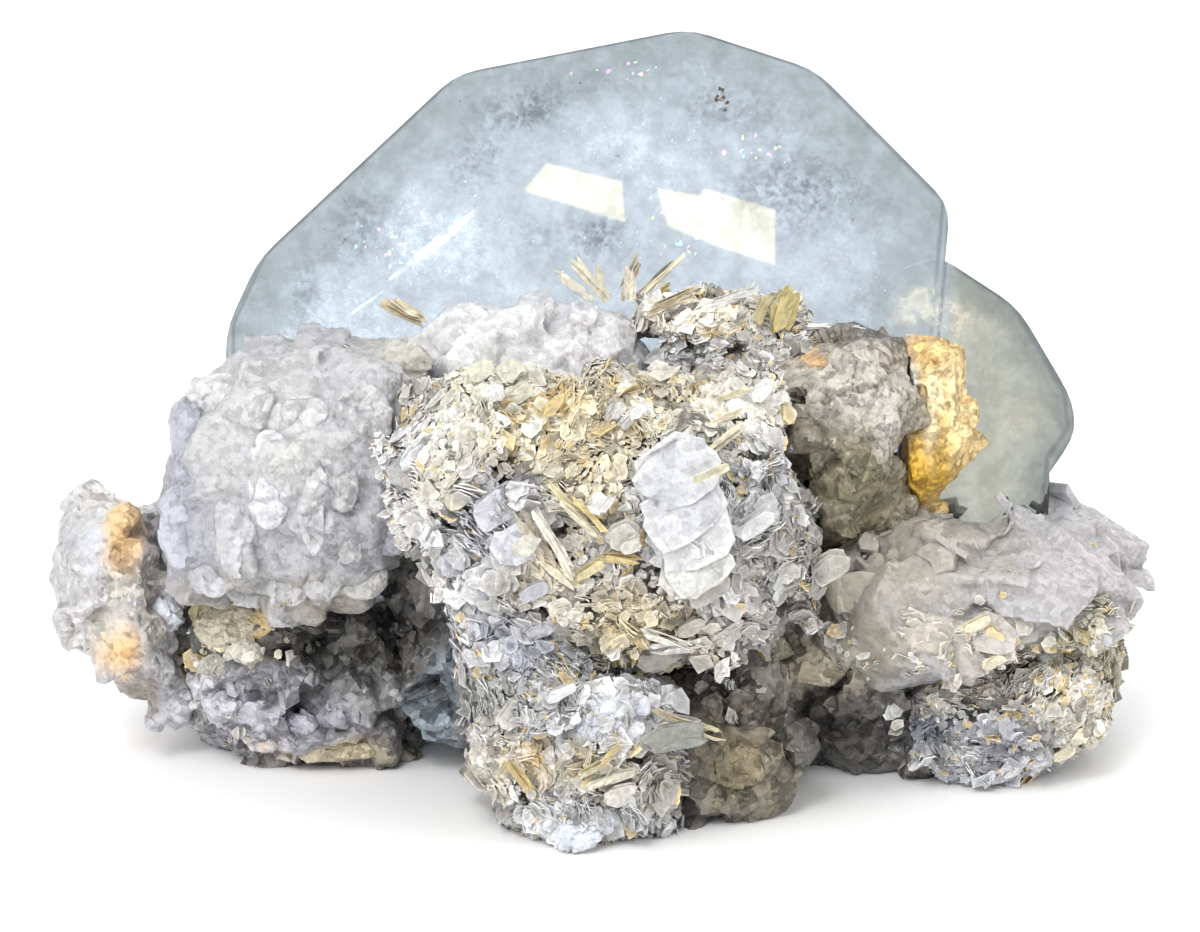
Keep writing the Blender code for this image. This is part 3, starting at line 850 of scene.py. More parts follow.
def read_mesh(mesh: bpy.types.Mesh) -> tuple[Array, Array, Array, Array]:
    """Positions, quads, vertex normals and edges of a mesh of quads."""
    quads = np.empty(len(mesh.loops), np.int64)
    mesh.loops.foreach_get("vertex_index", quads)
    normals = np.empty(len(mesh.vertices) * 3)
    mesh.vertex_normals.foreach_get("vector", normals)
    edges = np.empty(len(mesh.edges) * 2, np.int64)
    mesh.edges.foreach_get("vertices", edges)
    return positions(mesh), quads.reshape(-1, 4), normals.reshape(-1, 3), edges.reshape(-1, 2)


def spread(values: Array, edges: Array, rounds: int) -> Array:
    """Each vertex's value averaged with its neighbours' a number of times."""
    count = np.bincount(edges.ravel(), minlength=len(values))[:, None] + 1.0
    result = values.copy()
    for _ in range(rounds):
        total = result.copy()
        np.add.at(total, edges[:, 0], result[edges[:, 1]])
        np.add.at(total, edges[:, 1], result[edges[:, 0]])
        result = total / count
    return result


@dataclass
class Leaves:
    """Many thin leaves or thick shards with flat facets, kept as arrays: one row for each."""

    centres: Array
    normals: Array
    radii: Array
    thickness: Array
    tints: Array
    gloss: Array
    along: Optional[Array] = None
    stretch: tuple[float, float] = (0.6, 1.0)
    corners: int = 6
    bend: float = 0.2
    crumple: float = 0.13
    jagged: tuple[float, float] = (0.6, 1.15)
    boxy: float = 1.0

    def mesh(self, name: str, rng: np.random.Generator, limits: Optional[tuple[Array, Array]] = None) -> bpy.types.Mesh:
        """Builds every leaf at once.

        A leaf's corners lie at jittered angles and distances round its centre, with the cosine and sine of the
        angle raised to a power that makes long leaves boxy. The leaf bends along one axis by the square of the
        distance from it, its corners are lifted a little at random, and its two sides stand off by half its
        thickness. Each side is a fan round a middle point.

        Args:
            name: The mesh's name.
            rng: Source of the jitter.
            limits: Lowest and highest corner of the box to stay inside.

        Returns:
            A mesh with tint and edge attributes, and one for lustre and painted glint.
        """
        count, sides = len(self.centres), self.corners
        helper = unit(rng.normal(size=(count, 3)))
        second = unit(np.cross(self.normals, helper if self.along is None else self.along))
        first = np.cross(second, self.normals)
        turn = (np.arange(sides) + rng.uniform(-0.36, 0.36, (count, sides))) * (2 * np.pi / sides)
        reach = self.radii[:, None] * rng.uniform(*self.jagged, (count, sides))
        narrow = rng.uniform(*self.stretch, count)[:, None]
        u = reach * np.sign(np.cos(turn)) * np.abs(np.cos(turn)) ** self.boxy
        v = reach * narrow * np.sign(np.sin(turn)) * np.abs(np.sin(turn)) ** self.boxy
        lift = self.bend * rng.normal(size=(count, 1)) * u * u / self.radii[:, None]
        lift = lift + self.crumple * self.radii[:, None] * rng.uniform(-1, 1, (count, sides))
        flat = self.centres[:, None] + u[..., None] * first[:, None] + v[..., None] * second[:, None]
        flat = flat + lift[..., None] * self.normals[:, None]
        ring_points = np.concatenate([flat, self.centres[:, None]], axis=1)
        half = (self.thickness[:, None, None] / 2) * self.normals[:, None]
        points = np.concatenate([ring_points + half, ring_points - half], axis=1).reshape(-1, 3)
        base = np.arange(count)[:, None, None] * 2 * (sides + 1)
        ring = np.arange(sides)
        after = np.roll(ring, -1)
        under = sides + 1
        top = np.stack([np.full(sides, sides), ring, after], axis=1)
        bottom = np.stack([np.full(sides, sides + under), after + under, ring + under], axis=1)
        walls = np.stack([ring, ring + under, after + under, after], axis=1)
        if limits is not None:
            points = np.clip(points, *limits)
        fans = (base + np.concatenate([top, bottom])[None]).reshape(-1, 3)
        made = mesh_of(name, points, [fans, (base + walls[None]).reshape(-1, 4)])
        add_tints(made, np.repeat(self.tints, 2 * (sides + 1), axis=0))
        add_values(made, "gloss", np.repeat(self.gloss, 2 * (sides + 1)))
        add_values(made, "edge", np.tile(np.r_[np.ones(sides), 0.0], 2 * count))
        return made


@dataclass(frozen=True)
class Shards:
    """Cleavage pieces that stand out of a rock: how many, their size, their outline and how they lie.

    A high lie turns them flat on the rock, and a spin scatters them. Thick gives their depth over their half width.
    """

    count: int = 400
    radius_mm: tuple[float, float] = (0.5, 1.5)
    domain_mm: float = 4.0
    spin: float = 0.25
    lie: float = 0.9
    thick: tuple[float, float] = (0.5, 1.1)
    along: Optional[Point] = None
    corners: int = 5
    stretch: tuple[float, float] = (0.6, 1.0)

    def leaves(self, node: str, tones: Tones, seed: int) -> tuple[Leaves, np.random.Generator]:
        """Scatters the pieces over a CAD node by area; neighbours are turned much the same way.

        Args:
            node: The CAD node that they stand on.
            tones: Their tones.
            seed: Chooses the arrangement.

        Returns:
            The pieces and the generator to build them with.
        """
        rng = np.random.default_rng(seed)
        triangles, normals, areas = node_surface(node)
        points, facing = scatter_points(triangles, normals, areas * (normals[:, 2] > -0.9), rng, self.count)
        home, _ = nearest_cell(points, self.domain_mm * MM, seed)
        shared = unit(hashed(home, seed + 9, 3) * 2 - 1)
        turned = unit(shared + self.lie * facing + self.spin * rng.normal(size=points.shape))
        low, high = self.radius_mm
        radii = (low + (high - low) * rng.random(self.count) ** 2) * MM
        thick = radii * rng.uniform(*self.thick, self.count)
        lifted = points - facing * (0.3 * thick)[:, None]
        tints = tones.at(points, seed) * rng.uniform(0.9, 1.1, (self.count, 1))
        along = None
        if self.along:
            along = unit(np.array(self.along) + 0.25 * rng.normal(size=points.shape))
        leaves = Leaves(lifted, turned, radii, thick, np.clip(tints, 0, 1), rng.random(self.count), along, self.stretch, self.corners, bend=0.0)
        return leaves, rng


def scatter_points(triangles: Array, normals: Array, weight: Array, rng: np.random.Generator, count: int) -> tuple[Array, Array]:
    """Random points on triangles.

    Args:
        triangles: Corner positions.
        normals: The triangles' normals.
        weight: How much each triangle gets.
        rng: Source of the spread.
        count: How many points.

    Returns:
        Positions and normals.
    """
    chosen = rng.choice(len(weight), count, p=weight / weight.sum())
    a, b = rng.random(count), rng.random(count)
    flip = a + b > 1
    a, b = np.where(flip, 1 - a, a), np.where(flip, 1 - b, b)
    corner = triangles[chosen]
    points = corner[:, 0] + a[:, None] * (corner[:, 1] - corner[:, 0]) + b[:, None] * (corner[:, 2] - corner[:, 0])
    return points, normals[chosen]


@dataclass
class Rock:
    """A granular mass: its CAD solid broken up in flat-faced blocks and grains, with shards standing out."""

    node: str
    slot: Slot
    finish: RockFinish
    tones: Tones
    limits: tuple[Array, Array]
    voxel_mm: float = 0.27
    grow_mm: float = 0.1
    block_mm: float = 6.0
    grain_mm: float = 1.6
    block_tilt: float = 0.4
    block_jut: float = 0.15
    grain_tilt: float = 0.55
    grain_weight: float = 0.5
    wander_mm: float = 0.25
    soften: int = 0
    longer: Point = (1.0, 1.0, 1.0)
    keep: float = 0.3
    sharp_deg: float = 24.0
    shards: Optional[Shards] = None
    pits: tuple[Pit, ...] = ()
    seed: int = 1

    def build(self) -> bpy.types.Object:
        """Remeshes the solid in small squares and moves every point onto the face of its block and grain.

        The shift is the sum of the block's, the grain's and a little noise, along the smoothed normal, and
        noise makes the borders of the grains wander. Pits push in what faces the eye and get painted shade. An
        attribute of painted shade is high where the result lies under the mean of its surroundings. Then nearly
        flat areas lose points.

        Returns:
            The piece.
        """
        copy = merged_copy(self.node)
        remesh = copy.modifiers.new("squares", "REMESH")
        remesh.mode = "VOXEL"
        remesh.voxel_size = self.voxel_mm * MM
        mesh = applied(copy)
        points, quads, normals, edges = read_mesh(mesh)
        bpy.data.meshes.remove(mesh)
        broad = unit(spread(normals, edges, 6))
        wander = np.stack([fractal_noise(points, 1.8 * MM, self.seed + 30 + k, 2) for k in range(3)], axis=1) * self.wander_mm * MM
        block = grain_shift(points + wander, broad, self.block_mm * MM, self.seed, self.block_tilt, self.block_jut, self.longer)
        block = spread(block[:, None], edges, self.soften)[:, 0]
        stepped = points + wander + broad * block[:, None]
        grain = grain_shift(stepped, broad, self.grain_mm * MM, self.seed + 3, self.grain_tilt, 0.3, self.longer)
        fine = grain_shift(stepped, broad, 0.5 * self.grain_mm * MM, self.seed + 4, self.grain_tilt, 0.3, self.longer)
        rough = fractal_noise(points, 0.9 * MM, self.seed + 7, 2) * 0.06 * MM
        shift = 0.8 * block + self.grain_weight * (grain + 0.7 * fine) + rough + self.grow_mm * MM
        # Painted shade: high where the surface lies below the mean of its surroundings.
        mean = spread(shift[:, None], edges, 14)[:, 0]
        hollow = np.clip((mean - shift) / (0.4 * MM) - 0.3, 0, 1)
        pixels = EYE.picture(points)
        seen = np.clip(-(broad @ EYE.axes()[3]) * 2.5, 0, 1)
        # Pits sink the surface and add painted shade there.
        for pit in self.pits:
            near = closeness(pixels, pit.at, pit.reach) * seen
            shift = shift - near * pit.depth_mm * MM
            hollow = np.maximum(hollow, np.clip(1.4 * near, 0, 1))
        placed = np.clip(points + broad * shift[:, None], *self.limits)
        made = mesh_of("squares", placed, [quads])
        add_values(made, "hollow", hollow)
        add_tints(made, self.tones.at(points, self.seed))
        thinner = bpy.data.objects.new("thinner", made)
        bpy.context.scene.collection.objects.link(thinner)
        thinner.modifiers.new("facets", "DECIMATE").ratio = self.keep
        facets = applied(thinner)
        bpy.data.meshes.remove(made)
        facets.name = "rock_" + self.node
        facets.vertices.foreach_set("co", np.clip(positions(facets), *self.limits).astype(np.float32).ravel())
        facets.shade_smooth()
        facets.set_sharp_from_angle(angle=math.radians(self.sharp_deg))
        material = self.finish.material()
        if self.shards:
            leaves, rng = self.shards.leaves(self.node, self.tones, self.seed + 200)
            place(leaves.mesh("shards_" + self.node, rng, self.limits), self.slot, material)
        return place(facets, self.slot, material, [self.node])


@dataclass(frozen=True)
class Lump:
    """A rounded mass round a pixel of the picture: half its size in pixels, its tone, how deep it is and its turn."""

    at: Pixel
    reach: Pixel
    tone: Colour
    deep: float = 0.5
    turn_deg: float = 0.0


@dataclass
class LumpSet:
    """Rounded masses of one mineral that bulge from the solids where the picture shows them."""

    name: str
    slot: Slot
    finish: RockFinish
    lumps: tuple[Lump, ...]
    limits: tuple[Array, Array]
    grain_mm: float = 2.0
    tilt: float = 0.35
    rough_mm: float = 0.2
    pixel_mm: float = 0.0815
    sharp_deg: float = 40.0
    seed: int = 5

    def build(self) -> bpy.types.Object:
        """Stretches a ball over each lump's size at the point behind its pixel, and breaks its surface in grains.

        Returns:
            The piece.
        """
        bm = bmesh.new()
        bmesh.ops.create_icosphere(bm, subdivisions=5, radius=1.0)
        ball = np.array([vert.co[:] for vert in bm.verts])
        faces = np.array([[vert.index for vert in face.verts] for face in bm.faces])
        bm.free()
        _, right, up, forward = EYE.axes()
        found = [(lump, EYE.hit(lump.at)) for lump in self.lumps]
        masses = []
        tints = []
        for lump, foot in found:
            if foot is None:
                LOG.warning("no solid behind the lump at %s", lump.at)
                continue
            turn = math.radians(lump.turn_deg)
            wide, high = (reach * self.pixel_mm * MM for reach in lump.reach)
            side = right * math.cos(turn) + up * math.sin(turn)
            above = up * math.cos(turn) - right * math.sin(turn)
            frame_of = np.array([side * wide, above * high, -forward * lump.deep * min(wide, high)])
            points = foot + ball @ frame_of
            normals = unit(ball @ np.linalg.inv(frame_of).T)
            seed = self.seed + len(masses)
            uneven = fractal_noise(points, 2.4 * MM, seed + 40, 3) * self.rough_mm * MM
            shift = grain_shift(points, normals, self.grain_mm * MM, seed, self.tilt, 0.15, (1.0, 1.0, 1.0))
            fine = grain_shift(points, normals, 0.4 * self.grain_mm * MM, seed + 9, self.tilt, 0.2, (1.0, 1.0, 1.0))
            masses.append(points + normals * (0.6 * shift + 0.5 * fine + uneven)[:, None])
            vary = 1 + 0.1 * fractal_noise(points, 3 * MM, seed + 60, 2)
            tints.append(np.array(lump.tone) * vary[:, None])
        every = np.concatenate([faces + len(ball) * k for k in range(len(masses))])
        mesh = mesh_of(self.name, np.clip(np.concatenate(masses), *self.limits), [every])
        add_values(mesh, "hollow", np.zeros(len(mesh.vertices)))
        add_tints(mesh, np.clip(np.concatenate(tints), 0, 1))
        mesh.shade_smooth()
        mesh.set_sharp_from_angle(angle=math.radians(self.sharp_deg))
        return place(mesh, self.slot, self.finish.material())


@dataclass(frozen=True)
class LeafLayer:
    """One kind of mica leaf: how many books, how large, how they lie, and round which pixels they are frequent."""

    name: str
    books: int
    radius_mm: tuple[float, float] = (0.35, 1.3)
    sheets: int = 4
    corners: int = 6
    thickness_mm: tuple[float, float] = (0.04, 0.1)
    lean: float = 0.45
    jitter: float = 0.2
    standing: float = 0.15
    lift_mm: float = 0.12
    uneven: float = 0.3
    jagged: tuple[float, float] = (0.72, 1.1)
    accents: tuple[tuple[Colour, float], ...] = (((0.98, 0.98, 0.97), 0.1), ((0.80, 0.60, 0.26), 0.1), ((0.3, 0.29, 0.27), 0.06))
    within: tuple[Patch, ...] = ()
    elsewhere: float = 0.05


@dataclass
class MicaCluster:
    """Books of mica on a CAD solid: layers of leaves that lie in coherent fields, over a rough core darkened with
    painted shade.
    """

    node: str
    limits: tuple[Array, Array]
    tones: Tones
    layers: tuple[LeafLayer, ...]
    facing: Point = (0.0, -1.0, 0.25)
    domain_mm: float = 4.0
    pits: tuple[Pit, ...] = ()
    core: bool = True
    # The core's tones are dimmed by this factor: painted shade in the gaps between the leaves.
    core_shade_level: float = 0.5
    seed: int = 1

    def leaves(self, layer: LeafLayer, rng: np.random.Generator) -> Leaves:
        """Lays books of leaves on the solid, in fields of a few millimetres whose leaves lean the same way.

        A field's direction is the surface's normal pulled aside at random, or lies along the surface where the
        field stands on edge. A book's leaves are stacked along its normal, each shifted, turned and smaller.

        Args:
            layer: What the leaves are like.
            rng: Source of the spread.

        Returns:
            The leaves.
        """
        books = layer.books
        triangles, normals, areas = node_surface(self.node)
        seen = np.clip(normals @ unit(np.array(self.facing)) + 0.45, 0.02, 1.0)
        weight = areas * seen * (normals[:, 2] > -0.95)
        if layer.within:
            middle = EYE.picture(triangles.mean(axis=1))
            near = [patch.weight * closeness(middle, patch.at, patch.reach) for patch in layer.within]
            weight = weight * (layer.elsewhere + np.sum(near, axis=0) * (normals[:, 1] < 0.3))
        points, facing = scatter_points(triangles, normals, weight, rng, books)
        home, _ = nearest_cell(points, self.domain_mm * MM, self.seed)
        chance = hashed(home, self.seed + 5, 5)
        shared = unit(chance[:, :3] * 2 - 1)
        flat = unit(facing + layer.lean * shared)
        edgewise = unit(np.cross(facing, shared) + 0.25 * facing)
        on_edge = (chance[:, 3] < layer.standing)[:, None]
        book_normal = unit(np.where(on_edge, edgewise, flat) + layer.jitter * rng.normal(size=points.shape))
        low, high = layer.radius_mm
        radius = (low + (high - low) * rng.random(books) ** 2.3) * MM
        sheets = rng.integers((layer.sheets + 1) // 2, layer.sheets + 1, books)
        upright = 1 - np.abs(np.sum(book_normal * facing, axis=1))
        middle = points + facing * (layer.lift_mm * MM - radius * 0.5 * upright)[:, None]
        tint = self.tint(points, layer, rng) * (0.92 + 0.16 * chance[:, 4:5])
        # Books in a pit are made small, sunk and darkened with painted shade.
        pixels = EYE.picture(points)
        for pit in self.pits:
            near = closeness(pixels, pit.at, pit.reach)
            radius = np.where(near > 0.45, 0.2 * MM, radius)
            middle = middle - facing * (near * pit.depth_mm * MM)[:, None]
            tint = tint * (1 - 0.75 * near[:, None])

        owner = np.repeat(np.arange(books), sheets)
        order = np.concatenate([np.arange(n) for n in sheets])
        total = len(owner)
        rise = (order - np.repeat(sheets / 2, sheets)) * rng.uniform(0.1, 0.2, books)[owner] * MM
        aside = rng.normal(size=(total, 3)) * 0.14 * radius[owner][:, None]
        wobble = unit(book_normal[owner] + 0.06 * rng.normal(size=(total, 3)))
        return Leaves(
            centres=middle[owner] + book_normal[owner] * rise[:, None] + aside,
            normals=wobble,
            radii=radius[owner] * (1.05 - 0.09 * order) * rng.uniform(0.85, 1.05, total),
            thickness=rng.uniform(*layer.thickness_mm, books)[owner] * MM,
            tints=np.clip(tint[owner] * rng.uniform(1 - layer.uneven, 1 + 0.7 * layer.uneven, (total, 1)), 0, 1),
            gloss=rng.random(books)[owner],
            corners=layer.corners,
            jagged=layer.jagged,
        )

    def tint(self, points: Array, layer: LeafLayer, rng: np.random.Generator) -> Array:
        """The tone where each book stands, or one of the accents for a few of them."""
        tint = self.tones.at(points, self.seed)
        draw = rng.random(len(points))
        start = 0.0
        for colour, share in layer.accents:
            chosen = (draw >= start) & (draw < start + share)
            tint = np.where(chosen[:, None], 0.7 * np.array(colour) + 0.3 * tint, tint)
            start += share
        return tint

    def build(self) -> None:
        """Makes the core, dimmed as painted shade, and its layers of leaves."""
        rng = np.random.default_rng(self.seed)
        if self.core:
            shaded_core_tones = Tones(tuple(self.core_shade_level * c for c in self.tones.ground), tuple(
                Patch(p.at, p.reach, tuple(self.core_shade_level * c for c in p.tone), p.weight) for p in self.tones.patches
            ), level=self.tones.level)
            Rock(
                self.node, Slot.MICA, CORE, shaded_core_tones, self.limits, voxel_mm=0.33, grow_mm=-0.45, block_mm=3.0, grain_mm=1.3,
                block_tilt=0.7, grain_tilt=0.9, pits=self.pits, seed=self.seed + 90,
            ).build()
        material = MICA_FINISH.material()
        for layer in self.layers:
            mesh = self.leaves(layer, rng).mesh(f"{layer.name}_{self.node}", rng, self.limits)
            place(mesh, Slot.MICA, material)


@dataclass(frozen=True)
class Blade:
    """One book of mica that stands out in the picture, from its foot's pixel to its tip's.

    Its face is turned from the eye by tilt_deg round its length, and its middle rises from what carries it.
    """

    foot: Pixel
    tip: Pixel
    width_px: float
    tone: Colour
    tilt_deg: float = 20.0
    rise_mm: float = 0.6
    toward_deg: float = 0.0
    sheets: int = 3


@dataclass
class BladeSet:
    """The single books that the picture shows."""

    name: str
    blades: tuple[Blade, ...]
    limits: tuple[Array, Array]
    slot: Slot
    thickness_mm: float = 0.08
    pixel_mm: float = 0.0815
    brightness: float = 1.0
    lift_mm: float = 0.5
    corners: int = 11
    jagged: tuple[float, float] = (0.72, 1.08)
    seed: int = 77

    def build(self, material: bpy.types.Material) -> bpy.types.Object:
        """Stands every blade at the point of the solids behind its foot's pixel.

        The blade's length lies in the picture's plane, turned towards the eye by toward_deg, and its normal is
        the way to the eye turned round that length by tilt_deg.

        Args:
            material: The blades' material.

        Returns:
            The piece.
        """
        rng = np.random.default_rng(self.seed)
        _, right, up, forward = EYE.axes()
        rows = []
        for blade in self.blades:
            foot = EYE.hit(blade.foot)
            if foot is None:
                LOG.warning("no solid behind the blade at %s", blade.foot)
                continue
            step = (np.array(blade.tip) - np.array(blade.foot)) * self.pixel_mm * MM
            length = np.linalg.norm(step)
            along = unit(right * step[0] - up * step[1])
            turn = math.radians(blade.toward_deg)
            along = along * math.cos(turn) - forward * math.sin(turn)
            tilt = math.radians(blade.tilt_deg)
            face = -forward + along * (forward @ along)
            face = unit(face)
            normal = unit(face * math.cos(tilt) + np.cross(along, face) * math.sin(tilt))
            middle = foot + along * length / 2 + face * (blade.rise_mm + self.lift_mm) * MM
            narrow = blade.width_px * self.pixel_mm * MM / length
            for sheet in range(blade.sheets):
                gap = (sheet - blade.sheets / 2) * rng.uniform(1.5, 2.6) * self.thickness_mm * MM
                shift = rng.normal(size=3) * 0.04 * length
                rows.append((middle + normal * gap + shift, normal, along, length / 2 * rng.uniform(0.92, 1.04), narrow, blade.tone))
        centres, normals, alongs, radii, narrows, tones = (np.array(column) for column in zip(*rows))
        normals = unit(normals + 0.03 * rng.normal(size=normals.shape))
        tints = np.clip(tones * self.brightness * rng.uniform(0.88, 1.08, (len(rows), 1)), 0, 1)
        gloss = rng.uniform(0.2, 0.7, len(rows))
        leaves = Leaves(centres, normals, radii, np.full(len(rows), self.thickness_mm * MM), tints, gloss, alongs, corners=self.corners, bend=0.06, crumple=0.06)
        leaves.stretch = (1.0, 1.0)
        leaves.jagged = self.jagged
        leaves.boxy = 0.7
        widened = leaves.mesh(self.name, rng, None)
        points = positions(widened).reshape(len(rows), -1, 3)
        side = unit(np.cross(normals, alongs))
        off = points - centres[:, None]
        sideways = np.sum(off * side[:, None], axis=2, keepdims=True)
        points = points + sideways * (narrows[:, None, None] - 1) * side[:, None]
        widened.vertices.foreach_set("co", np.clip(points.reshape(-1, 3), *self.limits).astype(np.float32).ravel())
        widened.update()
        add_values(widened, "hollow", np.zeros(len(widened.vertices)))
        return place(widened, self.slot, material)


@dataclass(frozen=True)
class FleckSpot:
    """A group of flecks round a pixel of the picture."""

    at: Pixel
    reach: Pixel
    count: int
    tone: Optional[Colour]
    size_mm: tuple[float, float] = (0.05, 0.2)


@dataclass(frozen=True)
class Veil:
    """A sheet of haze inside a plate: its depth through the plate, its finish, and where it is thick."""

    name: str
    plate: PlateFrame
    depth_mm: float
    finish: VeilFinish
    haze: float
    patches: tuple[Patch, ...]
    inset_mm: float = 0.7
    seed: int = 5

    def cloud(self, points: Array) -> Array:
        """How thick the haze is: a thin haze with patches where the picture shows them, made uneven."""
        pixels = EYE.picture(points)
        near = sum(patch.weight * closeness(pixels, patch.at, patch.reach) for patch in self.patches)
        uneven = 1 + 0.6 * fractal_noise(points, 4 * MM, self.seed, 4)
        return np.clip((self.haze + near) * uneven, 0, 1.5)

    def build(self) -> bpy.types.Object:
        """Makes a thin closed sheet inside the plate, from its middle out to a ring inset from the rim.

        The sheet is a grid of directions by a profile that runs out along its front and back along its back.
        Its depth waves with smooth noise.

        Returns:
            The piece.
        """
        turns, steps = 180, 60
        angle = np.linspace(0, 2 * np.pi, turns, endpoint=False)
        out = np.concatenate([np.linspace(0.0, 1.0, steps)[1:], np.linspace(1.0, 0.0, steps)[:-1]])
        side = np.concatenate([-np.ones(steps - 1), np.ones(steps - 1)])
        radius = (self.plate.reach(angle)[None, :] - self.inset_mm * MM) * out[:, None]
        across, up = radius * np.cos(angle), radius * np.sin(angle)
        flat = np.stack([across, np.zeros_like(across), up], axis=-1).reshape(-1, 3)
        wave = fractal_noise(flat, 11 * MM, self.seed, 2).reshape(across.shape) * 0.6 * MM
        depth = self.depth_mm * MM + wave + side[:, None] * 0.015 * MM
        poles = self.plate.world(np.zeros(2), np.array([depth[0].mean(), depth[-1].mean()]), np.zeros(2))
        points = np.concatenate([self.plate.world(across, depth, up).reshape(-1, 3), poles])
        rows, columns = np.meshgrid(np.arange(len(out) - 1), np.arange(turns), indexing="ij")
        after = (columns + 1) % turns
        corners = [rows * turns + columns, (rows + 1) * turns + columns, (rows + 1) * turns + after, rows * turns + after]
        ring, nexts = np.arange(turns), (np.arange(turns) + 1) % turns
        last = (len(out) - 1) * turns
        front = np.stack([np.full(turns, len(points) - 2), ring, nexts], axis=1)
        back = np.stack([np.full(turns, len(points) - 1), last + nexts, last + ring], axis=1)
        mesh = mesh_of(self.name, points, [np.stack(corners, axis=-1).reshape(-1, 4), front, back], smooth=True)
        rim = np.minimum((1 - out[:, None]) / 0.15, 1.0) * np.ones_like(across)
        fade = np.append(rim.ravel(), [1.0, 1.0])
        add_values(mesh, "cloud", self.cloud(points) * fade)
        return place(mesh, Slot.CRYSTAL, self.finish.material())


@dataclass
class Aquamarine:
    """The clear crystal and what is inside it."""

    plates: tuple[PlateFrame, ...] = (MAIN_PLATE, SIDE_PLATE, STEP_PLATE)
    plate: PlateFrame = MAIN_PLATE
    finish: CrystalFinish = field(default_factory=CrystalFinish)
    bevel_mm: float = 0.07
    follow: float = 0.82
    round_mm: float = 1.8
    flecks: int = 500
    milk: tuple[Patch, ...] = (
        Patch((320, 335), (85, 45), (1, 1, 1), 1.3), Patch((435, 240), (64, 34), (1, 1, 1), 1.1),
        Patch((335, 275), (40, 20), (1, 1, 1), 0.6),
        Patch((268, 350), (26, 40), (1, 1, 1), 0.6), Patch((640, 130), (110, 38), (1, 1, 1), 0.6),
        Patch((500, 195), (60, 40), (1, 1, 1), 0.45), Patch((560, 290), (110, 22), (1, 1, 1), 0.25),
        Patch((820, 270), (60, 50), (1, 1, 1), 0.3), Patch((660, 200), (60, 30), (1, 1, 1), 0.35),
        Patch((400, 330), (60, 20), (1, 1, 1), 0.7), Patch((380, 160), (40, 40), (1, 1, 1), 0.35),
    )
    dark: tuple[Patch, ...] = (
        Patch((515, 105), (46, 18), (1, 1, 1), 1.1), Patch((350, 215), (28, 42), (1, 1, 1), 0.8),
        Patch((475, 160), (30, 25), (1, 1, 1), 0.5), Patch((605, 235), (34, 26), (1, 1, 1), 0.5),
        Patch((800, 190), (70, 36), (1, 1, 1), 0.6), Patch((735, 110), (50, 25), (1, 1, 1), 0.5),
        Patch((590, 82), (60, 13), (1, 1, 1), 0.5), Patch((540, 235), (26, 20), (1, 1, 1), 0.4),
        Patch((300, 280), (26, 30), (1, 1, 1), 0.35), Patch((865, 320), (30, 30), (1, 1, 1), 0.3),
    )
    frost: tuple[Patch, ...] = (
        Patch((918, 300), (36, 20), (1, 1, 1), 1.6), Patch((965, 312), (34, 22), (1, 1, 1), 1.0),
        Patch((1000, 300), (30, 26), (1, 1, 1), 0.35), Patch((1020, 440), (40, 50), (1, 1, 1), 0.25),
    )
    spots: tuple[FleckSpot, ...] = (
        FleckSpot((515, 105), (44, 18), 60, (0.25, 0.27, 0.31), (0.03, 0.11)),
        FleckSpot((355, 215), (26, 34), 30, (0.24, 0.26, 0.3), (0.03, 0.11)),
        FleckSpot((600, 150), (90, 40), 30, (0.34, 0.36, 0.4), (0.03, 0.1)),
        FleckSpot((790, 190), (60, 30), 30, (0.3, 0.32, 0.35), (0.03, 0.1)),
        FleckSpot((720, 98), (6, 6), 12, (0.38, 0.25, 0.16), (0.1, 0.3)),
        FleckSpot((395, 245), (26, 13), 24, None, (0.1, 0.3)),
        FleckSpot((628, 70), (36, 6), 12, None, (0.12, 0.34)),
        FleckSpot((760, 148), (26, 10), 12, None, (0.1, 0.32)),
        FleckSpot((684, 243), (18, 10), 10, None, (0.1, 0.28)),
        FleckSpot((662, 212), (8, 10), 5, None, (0.06, 0.2)),
    )
    streaks: tuple[tuple[float, float, float, float], ...] = (
        (390, 281, 486, 202), (412, 262, 470, 216), (340, 322, 384, 290), (700, 60, 708, 84),
    )
    seed: int = 5

    def body(self) -> bpy.types.Object:
        """The plates made one by exact union, with slightly rounded edges."""
        first, *others = [plate.prism(f"plate_{index}", self.follow, self.round_mm) for index, plate in enumerate(self.plates)]
        for other in others:
            join = first.modifiers.new("join", "BOOLEAN")
            join.operation = "UNION"
            join.solver = "EXACT"
            join.object = other
        bevel = first.modifiers.new("edges", "BEVEL")
        bevel.width = self.bevel_mm * MM
        bevel.segments = 2
        bevel.limit_method = "ANGLE"
        bevel.angle_limit = math.radians(14)
        mesh = applied(first)
        mesh.name = "crystal"
        for other in others:
            bpy.data.objects.remove(other)
        return place(mesh, Slot.CRYSTAL, self.finish.material(self.plate), ["aquamarine"])

    def veils(self) -> tuple[Veil, ...]:
        """Two milky veils and a dark one in the main plate, and a frosty one in the side plate.

        A sight line crosses no more than four of these sheets, because it is cut off after eight clear walls.
        """
        # Each veil also glows with painted light of its own colour.
        near = Veil("veil_front", self.plate, -3.6, VeilFinish("milky_front"), 0.24, self.milk, seed=5)
        far = Veil("veil_back", self.plate, 2.4, VeilFinish("milky_back", wisps_per_mm=0.45), 0.3, self.milk, seed=45)
        smoke = Veil("smoke", self.plate, -5.2, VeilFinish("smoky_veil", (0.22, 0.26, 0.32), 0.68, 0.14, 1.2, 0.5), 0.02, self.dark, seed=91)
        frost = Veil("frost", SIDE_PLATE, -4.4, VeilFinish("frosty_veil", (0.95, 0.91, 0.82), 0.8, 0.66, 0.55, 0.08), 0.1, self.frost, 0.9, 93)
        return near, far, smoke, frost

